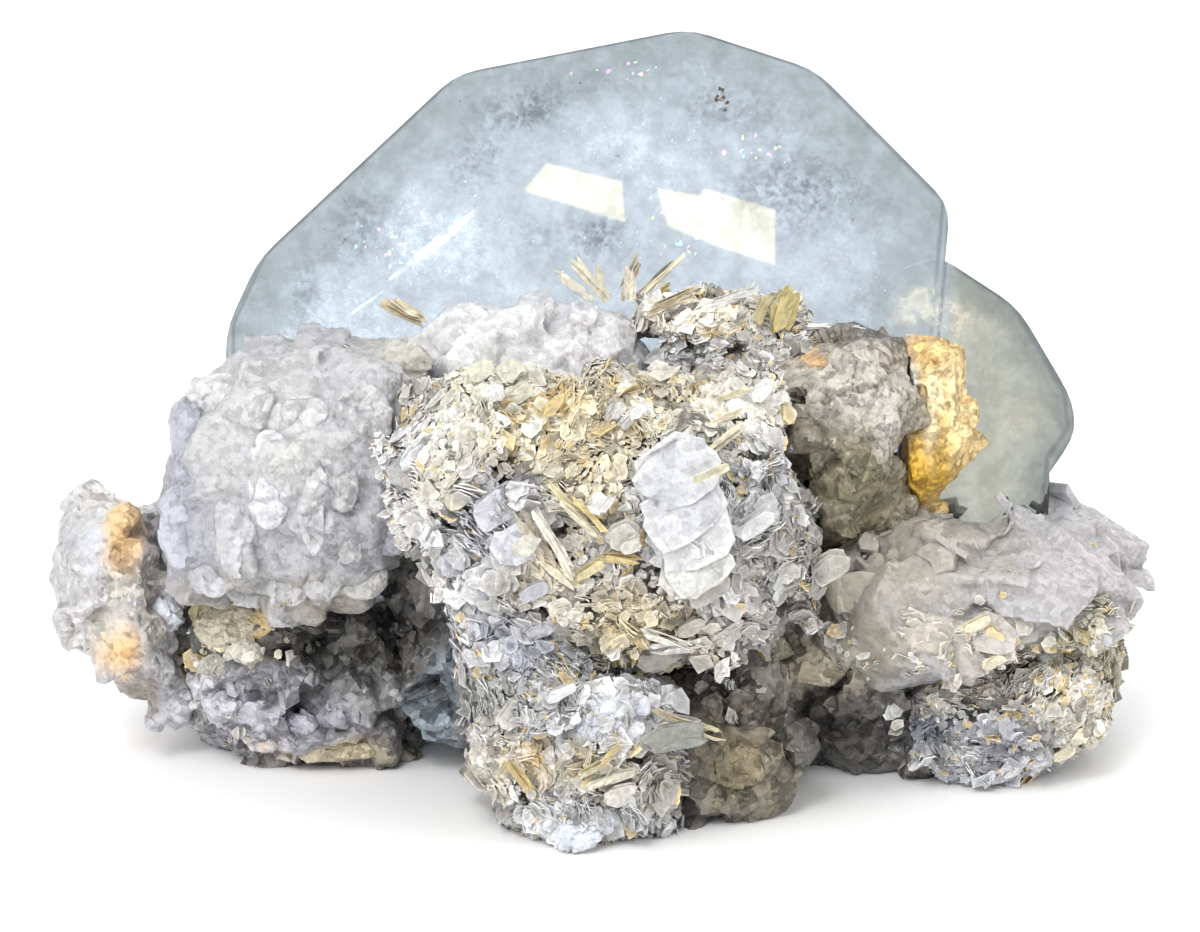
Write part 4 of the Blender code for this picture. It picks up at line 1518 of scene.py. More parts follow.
    def streak_piece(self) -> bpy.types.Object:
        """Healed cracks: long thin milky plates across the crystal, each from one pixel to another, glowing with
        painted light.
        """
        rng = np.random.default_rng(self.seed + 1)
        ends = np.array(self.streaks, float)
        depths = rng.uniform(-6.2, -5.8, len(ends))
        starts = [self.plate.seen_at(row[None, :2], depth) for row, depth in zip(ends, depths)]
        stops = [self.plate.seen_at(row[None, 2:], depth) for row, depth in zip(ends, depths)]
        first = np.concatenate([self.plate.world(a, np.full(1, d * MM), u) for (a, u), d in zip(starts, depths)])
        second = np.concatenate([self.plate.world(a, np.full(1, d * MM), u) for (a, u), d in zip(stops, depths)])
        along = unit(second - first)
        face = unit(0.25 * rng.normal(size=first.shape) - self.plate.axes()[1])
        normals = unit(face - along * np.sum(face * along, axis=1, keepdims=True))
        radii = np.linalg.norm(second - first, axis=1) / 2
        white = np.ones((len(ends), 3))
        leaves = Leaves((first + second) / 2, normals, radii, np.full(len(ends), 0.02 * MM), white, np.ones(len(ends)), along, corners=12)
        leaves.stretch = (0.05, 0.09)
        leaves.bend = 0.0
        leaves.crumple = 0.01
        mesh = leaves.mesh("healed_cracks", rng)
        add_values(mesh, "cloud", np.full(len(mesh.vertices), 1.3))
        # The cracks glow more strongly with painted light.
        return place(mesh, Slot.CRYSTAL, VeilFinish("healed_cracks", glow=1.1, strength=0.7).material())

    def fleck_piece(self) -> bpy.types.Object:
        """Small flat flecks through the plate: white ones all over, and groups of dark and rainbow ones; the white and
        rainbow ones glow with painted glints.
        """
        rng = np.random.default_rng(self.seed)
        angle = rng.uniform(0, 2 * np.pi, self.flecks)
        out = np.sqrt(rng.uniform(0.0, 0.86, self.flecks))
        reach = self.plate.reach(angle) - 2.5 * MM
        across, up = [reach * out * np.cos(angle)], [reach * out * np.sin(angle)]
        tints = [np.full((self.flecks, 3), (0.95, 0.97, 1.0))]
        radii = [rng.uniform(0.04, 0.13, self.flecks)]
        # How strongly each fleck glows with a painted glint.
        glint_glow = [np.full(self.flecks, 0.8)]
        for spot in self.spots:
            pixels = np.array(spot.at) + rng.normal(size=(spot.count, 2)) * np.array(spot.reach) * 0.7
            x, z = self.plate.seen_at(pixels, -2.0)
            hue = rng.random(spot.count)[:, None] + np.array([0.0, 1 / 3, 2 / 3])
            vivid = 0.78 + 0.22 * np.cos(2 * np.pi * hue)
            across.append(x)
            up.append(z)
            tints.append(vivid if spot.tone is None else np.full((spot.count, 3), spot.tone))
            radii.append(rng.uniform(*spot.size_mm, spot.count))
            glint_glow.append(np.full(spot.count, 1.0 if spot.tone is None else 0.0))
        across, up, tints, radii, glint_glow = (np.concatenate(part) for part in (across, up, tints, radii, glint_glow))
        count = len(across)
        depth = np.r_[rng.uniform(-4.8, 4.8, self.flecks), rng.uniform(-6.3, -5.6, count - self.flecks)] * MM
        inside = np.hypot(across, up) < self.plate.reach(np.arctan2(up, across)) - 1.2 * MM
        centres = self.plate.world(across, depth, up)
        normals = unit(0.7 * rng.normal(size=centres.shape) + np.array([0, -0.9, 0.2]))
        leaves = Leaves(
            centres[inside], normals[inside], radii[inside] * MM, np.full(inside.sum(), 0.02 * MM), tints[inside], glint_glow[inside], corners=5
        )
        return place(leaves.mesh("inner_flecks", rng), Slot.CRYSTAL, FleckFinish().material())

    def build(self) -> None:
        """Makes the crystal, its veils, its healed cracks and its flecks."""
        self.body()
        for veil in self.veils():
            veil.build()
        self.streak_piece()
        self.fleck_piece()


@dataclass(frozen=True)
class SoftBox:
    """A bright soft-edged round area of the sky: where it is, how wide and how bright."""

    toward: Point
    radius_deg: float
    strength: float


@dataclass
class Studio:
    """Pale floor, soft light from the sky, panes that the crystal mirrors, and the camera."""

    sky: float = 0.72
    boxes: tuple[SoftBox, ...] = (
        SoftBox((-0.42, -0.75, 0.72), 27, 2.6), SoftBox((0.85, -0.45, 0.55), 20, 1.6), SoftBox((0.1, 0.7, 0.8), 24, 2.0),
        SoftBox((-0.2, -0.72, 0.74), 7, 16.0),
    )
    pane_glow: float = 9.0
    windows: tuple[tuple[Pixel, ...], ...] = (
        ((524, 191), (547, 163), (622, 182), (625, 222)),
        ((657, 188), (700, 196), (704, 188), (775, 210), (775, 265), (716, 246), (668, 226)),
    )

    def camera(self) -> None:
        """Sets the camera at the photograph's angle."""
        data = bpy.data.cameras.new("camera")
        data.lens = EYE.lens_mm
        data.sensor_width = EYE.sensor_mm
        data.clip_start = 0.01
        data.clip_end = 50.0
        camera = bpy.data.objects.new("camera", data)
        bpy.context.scene.collection.objects.link(camera)
        camera.location = EYE.axes()[0]
        camera.rotation_euler = (math.radians(90 - EYE.elevation_deg), 0.0, 0.0)
        bpy.context.scene.camera = camera

    def floor(self) -> None:
        """A wide plain floor under the specimen."""
        corners = np.array([[-4, -4, 0], [4, -4, 0], [4, 4, 0], [-4, 4, 0]], float)
        mesh = mesh_of("floor", corners, [np.array([[0, 1, 2, 3]])])
        material, _, shader = new_material("pale_floor")
        shader.inputs["Base Color"].default_value = (0.93, 0.93, 0.93, 1.0)
        shader.inputs["Roughness"].default_value = 0.8
        shader.inputs["Specular IOR Level"].default_value = 0.1
        mesh.materials.append(material)
        piece = bpy.data.objects.new("floor", mesh)
        bpy.context.scene.collection.objects.link(piece)
        piece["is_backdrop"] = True

    def light(self) -> None:
        """A pale sky with soft boxes: each adds light where the sky's direction is close to its own."""
        world = bpy.data.worlds.new("sky")
        world.use_nodes = True
        graph = Graph(world.node_tree)
        way = graph.node("TexCoord").outputs["Generated"]
        total: object = self.sky
        for box in self.boxes:
            aim = tuple(unit(np.array(box.toward)).tolist())
            cosine = graph.node("VectorMath", {0: way, 1: aim}, operation="DOT_PRODUCT").outputs["Value"]
            edge = math.cos(math.radians(1.2 * box.radius_deg))
            core = math.cos(math.radians(0.8 * box.radius_deg))
            total = graph.math("ADD", graph.band(cosine, edge, core, 0.0, box.strength), total)
        background = world.node_tree.nodes["Background"]
        background.inputs["Color"].default_value = (1.0, 1.0, 1.0, 1.0)
        graph.feed(background.inputs["Strength"], total)
        bpy.context.scene.world = world

    def panes(self, plate: PlateFrame) -> None:
        """Bright panes in front, where mirrored sight lines through the windows' corners end.

        A sight line runs from the eye through a pixel to the plate's front face, and is mirrored there.
        """
        eye = EYE.axes()[0]
        normal = -plate.axes()[1]
        on_face = np.array(plate.centre_mm) * MM + normal * plate.thickness_mm / 2 * MM
        material = bpy.data.materials.new("pane")
        material.use_nodes = True
        nodes = material.node_tree.nodes
        nodes.remove(nodes["Principled BSDF"])
        glow = nodes.new("ShaderNodeEmission")
        glow.inputs["Color"].default_value = (1.0, 0.86, 0.48, 1.0)
        glow.inputs["Strength"].default_value = self.pane_glow
        material.node_tree.links.new(glow.outputs[0], nodes["Material Output"].inputs["Surface"])
        for index, window in enumerate(self.windows):
            ray = EYE.rays(window)
            hit = eye + ray * (((on_face - eye) @ normal) / (ray @ normal))[:, None]
            back = ray - 2 * np.outer(ray @ normal, normal)
            points = hit + back * ((-1.3 - hit[:, 1]) / back[:, 1])[:, None]
            mesh = mesh_of(f"pane_{index}", points, [np.arange(len(points))[None]])
            mesh.materials.append(material)
            pane = bpy.data.objects.new(mesh.name, mesh)
            bpy.context.scene.collection.objects.link(pane)
            pane.visible_camera = False
            pane.visible_diffuse = False
            pane.visible_transmission = False
            pane.visible_shadow = False
            pane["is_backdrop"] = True

    def build(self, plate: PlateFrame) -> None:
        """Sets up the whole studio."""
        self.floor()
        self.light()
        self.panes(plate)
        self.camera()
        bpy.context.scene.view_settings.view_transform = "Standard"
        bpy.context.scene.view_settings.look = "None"


FELDSPAR = RockFinish(
    "feldspar_grains", shade_and_speck_colour=(0.42, 0.41, 0.43), stain_amount=0.26, contrast=0.22, speckle=0.12, grains=1700.0, facet_tilt=0.5, glow=0.6
)
QUARTZ = RockFinish("smoky_quartz", shade_and_speck_colour=(0.09, 0.08, 0.06), stain_amount=0.3, contrast=0.45, speckle=0.5, grains=1300.0, rough=(0.12, 0.4))
LEDGE = RockFinish("stained_ledge", shade_and_speck_colour=(0.30, 0.17, 0.06), stain=(0.9, 0.6, 0.2), stain_amount=0.3, contrast=0.5, speckle=0.4, grains=1500.0)
KNOB = RockFinish("stained_knob", shade_and_speck_colour=(0.3, 0.24, 0.2), stain=(0.85, 0.55, 0.24), stain_amount=0.36, contrast=0.3, speckle=0.3, grains=1300.0, glow=0.3)
BASE = RockFinish("dark_matrix", shade_and_speck_colour=(0.06, 0.06, 0.06), stain_amount=0.3, contrast=0.6, speckle=0.6, rough=(0.15, 0.5))
CORE = RockFinish("mica_core", shade_and_speck_colour=(0.1, 0.09, 0.08), contrast=0.4, speckle=0.3, grains=1200.0, rough=(0.2, 0.5))
# The rim ranges set the painted highlight on the leaves' rims.
MICA_FINISH = MicaFinish(rim=(0.84, 1.08))
BOOK_FINISH = MicaFinish("mica_books", rim=(0.94, 1.03))

FELDSPAR_TONES = Tones(
    (0.68, 0.68, 0.71),
    (
        Patch((250, 430), (80, 60), (0.80, 0.80, 0.81)), Patch((330, 400), (60, 40), (0.72, 0.72, 0.74)),
        Patch((300, 520), (60, 50), (0.70, 0.70, 0.73)), Patch((390, 540), (35, 60), (0.52, 0.51, 0.54)),
        Patch((290, 430), (16, 60), (0.92, 0.90, 0.84)), Patch((170, 460), (20, 60), (0.52, 0.53, 0.62)), Patch((180, 560), (30, 40), (0.56, 0.57, 0.64)),
        Patch((200, 590), (50, 22), (0.62, 0.58, 0.52)), Patch((330, 600), (60, 14), (0.60, 0.55, 0.47)),
        Patch((480, 330), (80, 40), (0.97, 0.97, 0.97)), Patch((600, 340), (60, 30), (0.95, 0.94, 0.95)),
        Patch((390, 340), (30, 20), (0.70, 0.68, 0.63)), Patch((900, 560), (60, 45), (0.66, 0.60, 0.50)),
        Patch((850, 640), (50, 40), (0.56, 0.51, 0.40)), Patch((1080, 560), (70, 40), (0.72, 0.69, 0.71)),
        Patch((990, 545), (50, 30), (0.66, 0.62, 0.57)), Patch((980, 640), (60, 30), (0.78, 0.73, 0.66)),
        Patch((1100, 600), (40, 25), (0.66, 0.63, 0.62)),
    ),
    level=0.68,
)
CREST_STONE = replace(FELDSPAR_TONES, level=0.82)
QUARTZ_TONES = Tones(
    (0.34, 0.30, 0.22),
    (
        Patch((850, 385), (48, 38), (0.64, 0.60, 0.53), 1.2), Patch((845, 480), (50, 40), (0.30, 0.27, 0.17)),
        Patch((818, 362), (13, 6), (1.0, 0.56, 0.20), 1.3), Patch((870, 340), (40, 8), (0.16, 0.15, 0.15)),
        Patch((884, 425), (10, 30), (0.70, 0.66, 0.62)), Patch((810, 440), (20, 30), (0.42, 0.38, 0.30)),
    ),
    6.0,
    level=0.9,
)
LEDGE_TONES = Tones(
    (0.74, 0.56, 0.26),
    (
        Patch((925, 350), (45, 12), (1.0, 0.66, 0.27)), Patch((904, 385), (9, 44), (0.92, 0.91, 0.92), 1.4),
        Patch((960, 400), (14, 60), (1.0, 0.78, 0.42)), Patch((948, 352), (16, 14), (1.0, 0.70, 0.34)), Patch((925, 465), (30, 26), (0.94, 0.54, 0.03)),
        Patch((905, 495), (20, 12), (1.0, 0.62, 0.08)), Patch((932, 420), (8, 40), (0.98, 0.84, 0.56)),
        Patch((895, 450), (6, 30), (0.40, 0.28, 0.10)), Patch((943, 430), (5, 26), (0.62, 0.40, 0.12)),
    ),
    5.0,
    level=1.0,
)
KNOB_TONES = Tones(
    (0.62, 0.62, 0.66),
    (
        Patch((125, 545), (13, 26), (1.0, 0.66, 0.30), 1.6), Patch((116, 650), (18, 18), (1.0, 0.64, 0.28), 1.4),
        Patch((124, 600), (16, 20), (0.78, 0.74, 0.66)), Patch((100, 630), (18, 16), (0.86, 0.80, 0.66)),
        Patch((85, 600), (28, 60), (0.72, 0.70, 0.70)), Patch((110, 505), (36, 18), (0.80, 0.78, 0.74)),
        Patch((150, 600), (14, 40), (0.62, 0.58, 0.52)), Patch((140, 690), (20, 16), (0.40, 0.34, 0.28)),
        Patch((95, 545), (12, 12), (0.66, 0.69, 0.80)), Patch((88, 572), (10, 10), (0.80, 0.83, 0.92)),
    ),
    6.0,
    level=0.84,
)
# The four near-black patches are painted shadow in recesses under the overhangs.
BASE_TONES = Tones(
    (0.20, 0.19, 0.18),
    (
        Patch((250, 690), (60, 24), (0.52, 0.52, 0.57)), Patch((330, 650), (70, 26), (0.09, 0.085, 0.075), 1.2),
        Patch((280, 730), (64, 22), (0.66, 0.65, 0.72)), Patch((196, 700), (24, 26), (0.84, 0.82, 0.84)),
        Patch((335, 754), (50, 9), (0.76, 0.66, 0.48)), Patch((375, 695), (30, 22), (0.46, 0.45, 0.47)),
        Patch((850, 660), (60, 30), (0.66, 0.60, 0.46), 1.2), Patch((740, 760), (40, 50), (0.35, 0.30, 0.19)),
        Patch((830, 725), (60, 26), (0.07, 0.065, 0.06), 1.3), Patch((690, 700), (30, 26), (0.07, 0.065, 0.06)), Patch((950, 700), (60, 30), (0.52, 0.50, 0.50)),
        Patch((445, 700), (14, 40), (0.35, 0.42, 0.48), 1.3), Patch((400, 625), (40, 18), (0.05, 0.045, 0.04), 1.2),
    ),
    8.0,
    level=0.9,
)
CENTRE_TONES = Tones(
    (0.66, 0.64, 0.60),
    (
        Patch((490, 385), (40, 26), (0.74, 0.74, 0.62)), Patch((400, 460), (36, 36), (0.82, 0.82, 0.84)),
        Patch((560, 430), (70, 40), (0.86, 0.76, 0.52)), Patch((650, 400), (60, 26), (0.88, 0.80, 0.62)),
        Patch((560, 400), (24, 12), (0.70, 0.50, 0.20)), Patch((740, 410), (45, 26), (0.88, 0.85, 0.76)),
        Patch((760, 490), (36, 45), (0.70, 0.71, 0.74)), Patch((490, 520), (60, 50), (0.62, 0.62, 0.66)),
        Patch((440, 480), (26, 30), (0.76, 0.72, 0.58)), Patch((590, 480), (40, 40), (0.84, 0.76, 0.56)),
        Patch((680, 520), (46, 70), (0.84, 0.84, 0.86)), Patch((640, 625), (50, 34), (0.74, 0.64, 0.42)),
        Patch((540, 570), (26, 50), (0.84, 0.76, 0.58)), Patch((790, 550), (40, 50), (0.37, 0.36, 0.34), 1.2),
        Patch((500, 640), (60, 34), (0.56, 0.57, 0.63)), Patch((730, 600), (40, 40), (0.50, 0.49, 0.47)),
    ),
    9.0,
    level=1.0,
)
FOOT_TONES = Tones(
    (0.66, 0.66, 0.68),
    (
        Patch((510, 625), (50, 34), (0.44, 0.46, 0.54), 1.2), Patch((480, 690), (26, 40), (0.50, 0.49, 0.47)), Patch((500, 770), (34, 34), (0.96, 0.90, 0.76)),
        Patch((600, 716), (50, 24), (0.90, 0.91, 0.94), 1.5), Patch((565, 825), (40, 22), (0.98, 0.99, 1.0), 1.4), Patch((600, 770), (50, 22), (0.92, 0.86, 0.72)),
        Patch((680, 735), (36, 22), (0.42, 0.42, 0.38), 1.2), Patch((660, 790), (30, 26), (0.50, 0.48, 0.42)), Patch((530, 760), (14, 20), (0.86, 0.62, 0.26)),
        Patch((630, 810), (34, 14), (0.84, 0.84, 0.86)), Patch((486, 830), (20, 16), (0.60, 0.62, 0.70)), Patch((586, 765), (16, 10), (0.84, 0.64, 0.30)),
        Patch((545, 700), (22, 26), (0.62, 0.62, 0.62)), Patch((470, 640), (12, 40), (0.72, 0.72, 0.74)), Patch((610, 790), (12, 26), (0.40, 0.39, 0.36)),
    ),
    7.0,
    level=0.80,
)
RIGHT_TONES = Tones(
    (0.60, 0.59, 0.57),
    (
        Patch((950, 680), (50, 26), (0.76, 0.71, 0.62)), Patch((1070, 690), (40, 30), (0.88, 0.83, 0.72), 1.3), Patch((925, 725), (36, 18), (0.24, 0.26, 0.32), 1.4),
        Patch((1020, 770), (50, 18), (0.92, 0.94, 1.0), 1.2), Patch((1100, 650), (24, 30), (0.70, 0.64, 0.46)), Patch((915, 765), (24, 12), (0.90, 0.92, 0.98)),
        Patch((990, 735), (30, 14), (0.44, 0.46, 0.52)), Patch((1085, 730), (26, 20), (0.80, 0.74, 0.56)), Patch((960, 790), (30, 12), (0.5, 0.56, 0.68)),
    ),
    7.0,
    level=0.84,
)
CREST_TONES = Tones(
    (0.50, 0.49, 0.47),
    (
        Patch((700, 318), (50, 14), (0.84, 0.78, 0.66)), Patch((760, 300), (36, 14), (0.80, 0.74, 0.58)),
        Patch((680, 350), (50, 16), (0.46, 0.46, 0.47)), Patch((760, 350), (40, 16), (0.58, 0.57, 0.55)),
    ),
    6.0,
    level=1.2,
)
STRAY_TONES = Tones(
    (0.62, 0.60, 0.55),
    (Patch((240, 640), (50, 26), (0.80, 0.72, 0.50)), Patch((960, 650), (60, 30), (0.88, 0.84, 0.76)), Patch((1090, 640), (30, 40), (0.76, 0.72, 0.56))),
    level=1.0,
)

PLAIN = (((0.97, 0.97, 0.97), 0.06), ((0.34, 0.33, 0.31), 0.08))
CREAM, WHITE, GOLD, TAN, GREY = (0.88, 0.80, 0.60), (0.95, 0.94, 0.92), (0.76, 0.60, 0.28), (0.66, 0.56, 0.38), (0.60, 0.60, 0.62)
LAVENDER, OLIVE, RUST = (0.80, 0.80, 0.83), (0.64, 0.54, 0.24), (0.86, 0.52, 0.12)
BLADES = (
    Blade((634, 300), (682, 256), 7, CREAM, 40, 0.8), Blade((606, 304), (598, 262), 9, (0.80, 0.76, 0.62), 30, 0.8),
    Blade((596, 302), (556, 272), 7, (0.78, 0.74, 0.62), 30, 0.8), Blade((612, 300), (574, 258), 6, CREAM, 50, 0.8),
    Blade((620, 300), (640, 262), 6, TAN, 50, 0.8), Blade((640, 306), (672, 284), 8, GOLD, 50, 0.8),
    Blade((630, 304), (628, 268), 8, (0.86, 0.80, 0.66), 20, 1.0), Blade((646, 312), (700, 286), 8, TAN, 40, 0.6),
    Blade((776, 330), (790, 286), 20, OLIVE, 25, 0.4), Blade((786, 330), (797, 292), 14, (0.74, 0.62, 0.28), 30, 0.2),
    Blade((756, 326), (770, 296), 14, (0.72, 0.62, 0.34), 40, 0.4), Blade((692, 308), (756, 288), 10, WHITE, 25, 0.8),
    Blade((742, 300), (786, 306), 12, (0.90, 0.87, 0.78), 35, 0.6), Blade((800, 326), (862, 330), 5, WHITE, 50, 0.6),
    Blade((426, 322), (382, 300), 12, TAN, 35, 0.8), Blade((424, 318), (392, 300), 8, (0.78, 0.70, 0.5), 45, 1.2),
    Blade((498, 380), (520, 362), 22, (0.86, 0.86, 0.74), 10, 0.8), Blade((470, 376), (494, 366), 18, (0.78, 0.78, 0.62), 15, 0.8),
    Blade((482, 398), (504, 392), 18, WHITE, 15, 0.8), Blade((446, 402), (466, 386), 16, (0.80, 0.80, 0.68), 20, 0.8),
    Blade((508, 402), (530, 386), 17, (0.82, 0.80, 0.66), 20, 0.8), Blade((402, 470), (430, 446), 24, (0.90, 0.92, 0.95), 25, 0.8),
    Blade((378, 478), (404, 462), 18, WHITE, 25, 0.6), Blade((614, 420), (624, 404), 10, WHITE, 30, 1.0), Blade((622, 428), (634, 414), 9, WHITE, 45, 1.0),
    Blade((628, 418), (646, 406), 12, WHITE, 25, 1.2), Blade((606, 420), (616, 406), 10, WHITE, 45, 0.8),
    Blade((544, 418), (566, 396), 14, GOLD, 25, 1.0), Blade((560, 412), (588, 400), 12, (0.80, 0.62, 0.26), 30, 1.0),
    Blade((746, 400), (770, 384), 16, WHITE, 20, 1.0), Blade((762, 404), (788, 396), 14, (0.92, 0.90, 0.84), 30, 0.8),
    Blade((716, 398), (750, 388), 9, CREAM, 40, 1.0), Blade((742, 424), (700, 458), 8, CREAM, 40, 1.6, 0, 2),
    Blade((716, 424), (742, 412), 8, CREAM, 50, 1.4), Blade((690, 426), (682, 456), 6, (0.8, 0.76, 0.66), 50, 1.4, 0, 2),
    Blade((530, 502), (566, 562), 11, (0.98, 0.95, 0.88), 30, 1.0), Blade((540, 520), (574, 584), 8, (0.88, 0.82, 0.70), 36, 1.2),
    Blade((520, 512), (554, 566), 9, (0.62, 0.54, 0.42), 45, 0.8),
    Blade((562, 500), (602, 540), 7, CREAM, 45, 1.2), Blade((570, 498), (608, 534), 5, GOLD, 45, 1.4),
    Blade((548, 486), (584, 522), 8, (0.84, 0.74, 0.46), 40, 1.0), Blade((540, 560), (576, 590), 10, CREAM, 35, 1.2),
    Blade((590, 516), (602, 494), 15, (0.94, 0.92, 0.88), 15, 1.2), Blade((600, 512), (612, 496), 9, WHITE, 40, 1.4),
    Blade((606, 546), (636, 526), 26, (0.64, 0.63, 0.57), 12, 1.4), Blade((618, 552), (640, 540), 16, (0.74, 0.72, 0.64), 25, 1.8),
    Blade((600, 556), (640, 560), 8, GOLD, 50, 1.2), Blade((572, 580), (604, 560), 12, (0.84, 0.72, 0.42), 40, 1.0),
    Blade((694, 480), (726, 466), 10, (0.76, 0.72, 0.54), 40, 1.0),
    Blade((772, 596), (786, 566), 9, (0.56, 0.56, 0.56), 40, 0.8),
    Blade((828, 612), (884, 594), 10, TAN, 45, 0.6),
    Blade((520, 598), (548, 584), 18, (0.56, 0.56, 0.61), 18, 1.0),
    Blade((516, 556), (534, 536), 20, (0.78, 0.76, 0.66), 14, 1.6), Blade((462, 590), (500, 610), 16, GREY, 40, 0.8),
    Blade((446, 508), (470, 488), 20, (0.80, 0.76, 0.60), 20, 0.8), Blade((524, 636), (556, 624), 14, (0.60, 0.60, 0.64), 20, 0.8),
    Blade((618, 664), (598, 606), 12, (0.82, 0.70, 0.42), 30, 1.0), Blade((624, 666), (622, 600), 12, CREAM, 35, 1.2),
    Blade((632, 668), (646, 614), 9, GOLD, 40, 1.2), Blade((606, 650), (596, 600), 10, (0.84, 0.74, 0.50), 35, 0.8),
    Blade((638, 664), (690, 632), 30, (0.60, 0.58, 0.53), 22, 1.0, 0, 4), Blade((678, 634), (702, 620), 18, (0.54, 0.50, 0.44), 35, 1.2),
    Blade((640, 628), (694, 648), 6, (0.88, 0.85, 0.76), 55, 1.8), Blade((650, 672), (694, 640), 6, (0.86, 0.84, 0.78), 55, 1.8),
    Blade((628, 612), (662, 606), 10, (0.86, 0.78, 0.58), 35, 1.0), Blade((646, 648), (700, 642), 8, WHITE, 50, 1.4),
    Blade((640, 740), (704, 728), 26, (0.31, 0.31, 0.285), 18, 0.8, 0, 4), Blade((652, 716), (722, 738), 7, (0.70, 0.62, 0.42), 45, 1.4), Blade((664, 716), (704, 726), 12, (0.50, 0.50, 0.46), 25, 1.2),
    Blade((546, 700), (576, 686), 12, (0.84, 0.85, 0.86), 30, 1.0), Blade((580, 704), (590, 686), 8, (0.88, 0.88, 0.88), 40, 1.0),
    Blade((506, 756), (532, 788), 7, (0.66, 0.50, 0.22), 40, 1.2), Blade((500, 770), (520, 748), 9, (0.80, 0.72, 0.50), 40, 1.0),
    Blade((578, 778), (612, 760), 7, (0.80, 0.70, 0.46), 45, 1.0), Blade((582, 790), (622, 774), 8, (0.80, 0.76, 0.62), 35, 1.0), Blade((600, 766), (622, 744), 7, (0.72, 0.58, 0.30), 45, 1.2),
    Blade((908, 770), (922, 758), 10, WHITE, 30, 0.8), Blade((1004, 776), (1020, 766), 8, WHITE, 40, 0.8),
    Blade((1050, 760), (1074, 748), 13, CREAM, 25, 0.8), Blade((980, 668), (1004, 656), 12, CREAM, 30, 0.8),
    Blade((500, 730), (520, 700), 18, (0.84, 0.82, 0.76), 20, 0.8), Blade((606, 782), (634, 770), 10, (0.74, 0.70, 0.58), 35, 0.9),
    Blade((604, 800), (636, 790), 20, (0.80, 0.76, 0.70), 25, 0.8),
    Blade((1066, 652), (1084, 612), 11, RUST, 25, 1.0), Blade((1072, 646), (1090, 622), 7, (0.92, 0.66, 0.24), 40, 1.2), Blade((960, 632), (990, 616), 12, CREAM, 30, 0.6),
    )
TILES = (
    Blade((640, 502), (704, 456), 62, (0.78, 0.78, 0.80), 6, 1.0), Blade((648, 534), (712, 484), 64, (0.81, 0.81, 0.83), 7, 1.1),
    Blade((656, 562), (718, 514), 62, (0.79, 0.79, 0.79), 6, 1.0), Blade((664, 588), (724, 546), 54, (0.78, 0.76, 0.71), 8, 0.9),
    Blade((684, 604), (728, 576), 30, (0.72, 0.69, 0.62), 16, 0.8), Blade((652, 480), (688, 452), 30, (0.84, 0.83, 0.80), 8, 1.4),
    Blade((488, 560), (540, 536), 40, (0.66, 0.66, 0.71), 12, 1.2, 0, 4),
    Blade((476, 520), (516, 496), 34, (0.60, 0.60, 0.64), 15, 1.0),
    Blade((440, 570), (476, 548), 28, (0.56, 0.56, 0.60), 22, 1.0),
    Blade((740, 536), (772, 512), 18, (0.64, 0.64, 0.64), 22, 0.8, 0, 4),
    Blade((812, 580), (846, 560), 24, (0.58, 0.55, 0.49), 20, 0.6),
    Blade((840, 556), (868, 538), 12, (0.62, 0.58, 0.5), 30, 0.6),
)
FELDSPAR_LUMPS = (
    Lump((226, 404), (42, 30), (0.58, 0.58, 0.59), 0.18), Lump((186, 442), (16, 44), (0.43, 0.44, 0.50), 0.21), Lump((270, 480), (24, 48), (0.62, 0.62, 0.64), 0.18),
    Lump((314, 508), (12, 46), (0.60, 0.60, 0.61), 0.24), Lump((340, 470), (17, 40), (0.52, 0.52, 0.53), 0.24, 8), Lump((388, 522), (28, 34), (0.40, 0.40, 0.46), 0.18),
    Lump((362, 580), (26, 20), (0.53, 0.52, 0.50), 0.27), Lump((322, 582), (20, 22), (0.50, 0.49, 0.49), 0.27), Lump((288, 588), (20, 18), (0.53, 0.52, 0.52), 0.30),
    Lump((250, 586), (22, 20), (0.52, 0.52, 0.53), 0.27), Lump((212, 570), (22, 26), (0.50, 0.50, 0.53), 0.24), Lump((180, 528), (20, 40), (0.47, 0.48, 0.54), 0.18),
    Lump((236, 530), (18, 44), (0.52, 0.52, 0.54), 0.21), Lump((300, 420), (34, 24), (0.58, 0.58, 0.59), 0.18), Lump((360, 420), (30, 34), (0.52, 0.52, 0.53), 0.18, -15),
    Lump((350, 530), (14, 34), (0.53, 0.53, 0.54), 0.24),
    Lump((404, 372), (26, 26), (0.52, 0.50, 0.45), 0.30), Lump((868, 596), (40, 24), (0.45, 0.42, 0.34), 0.3, -12),
    Lump((936, 634), (46, 18), (0.56, 0.52, 0.45), 0.3, -8), )
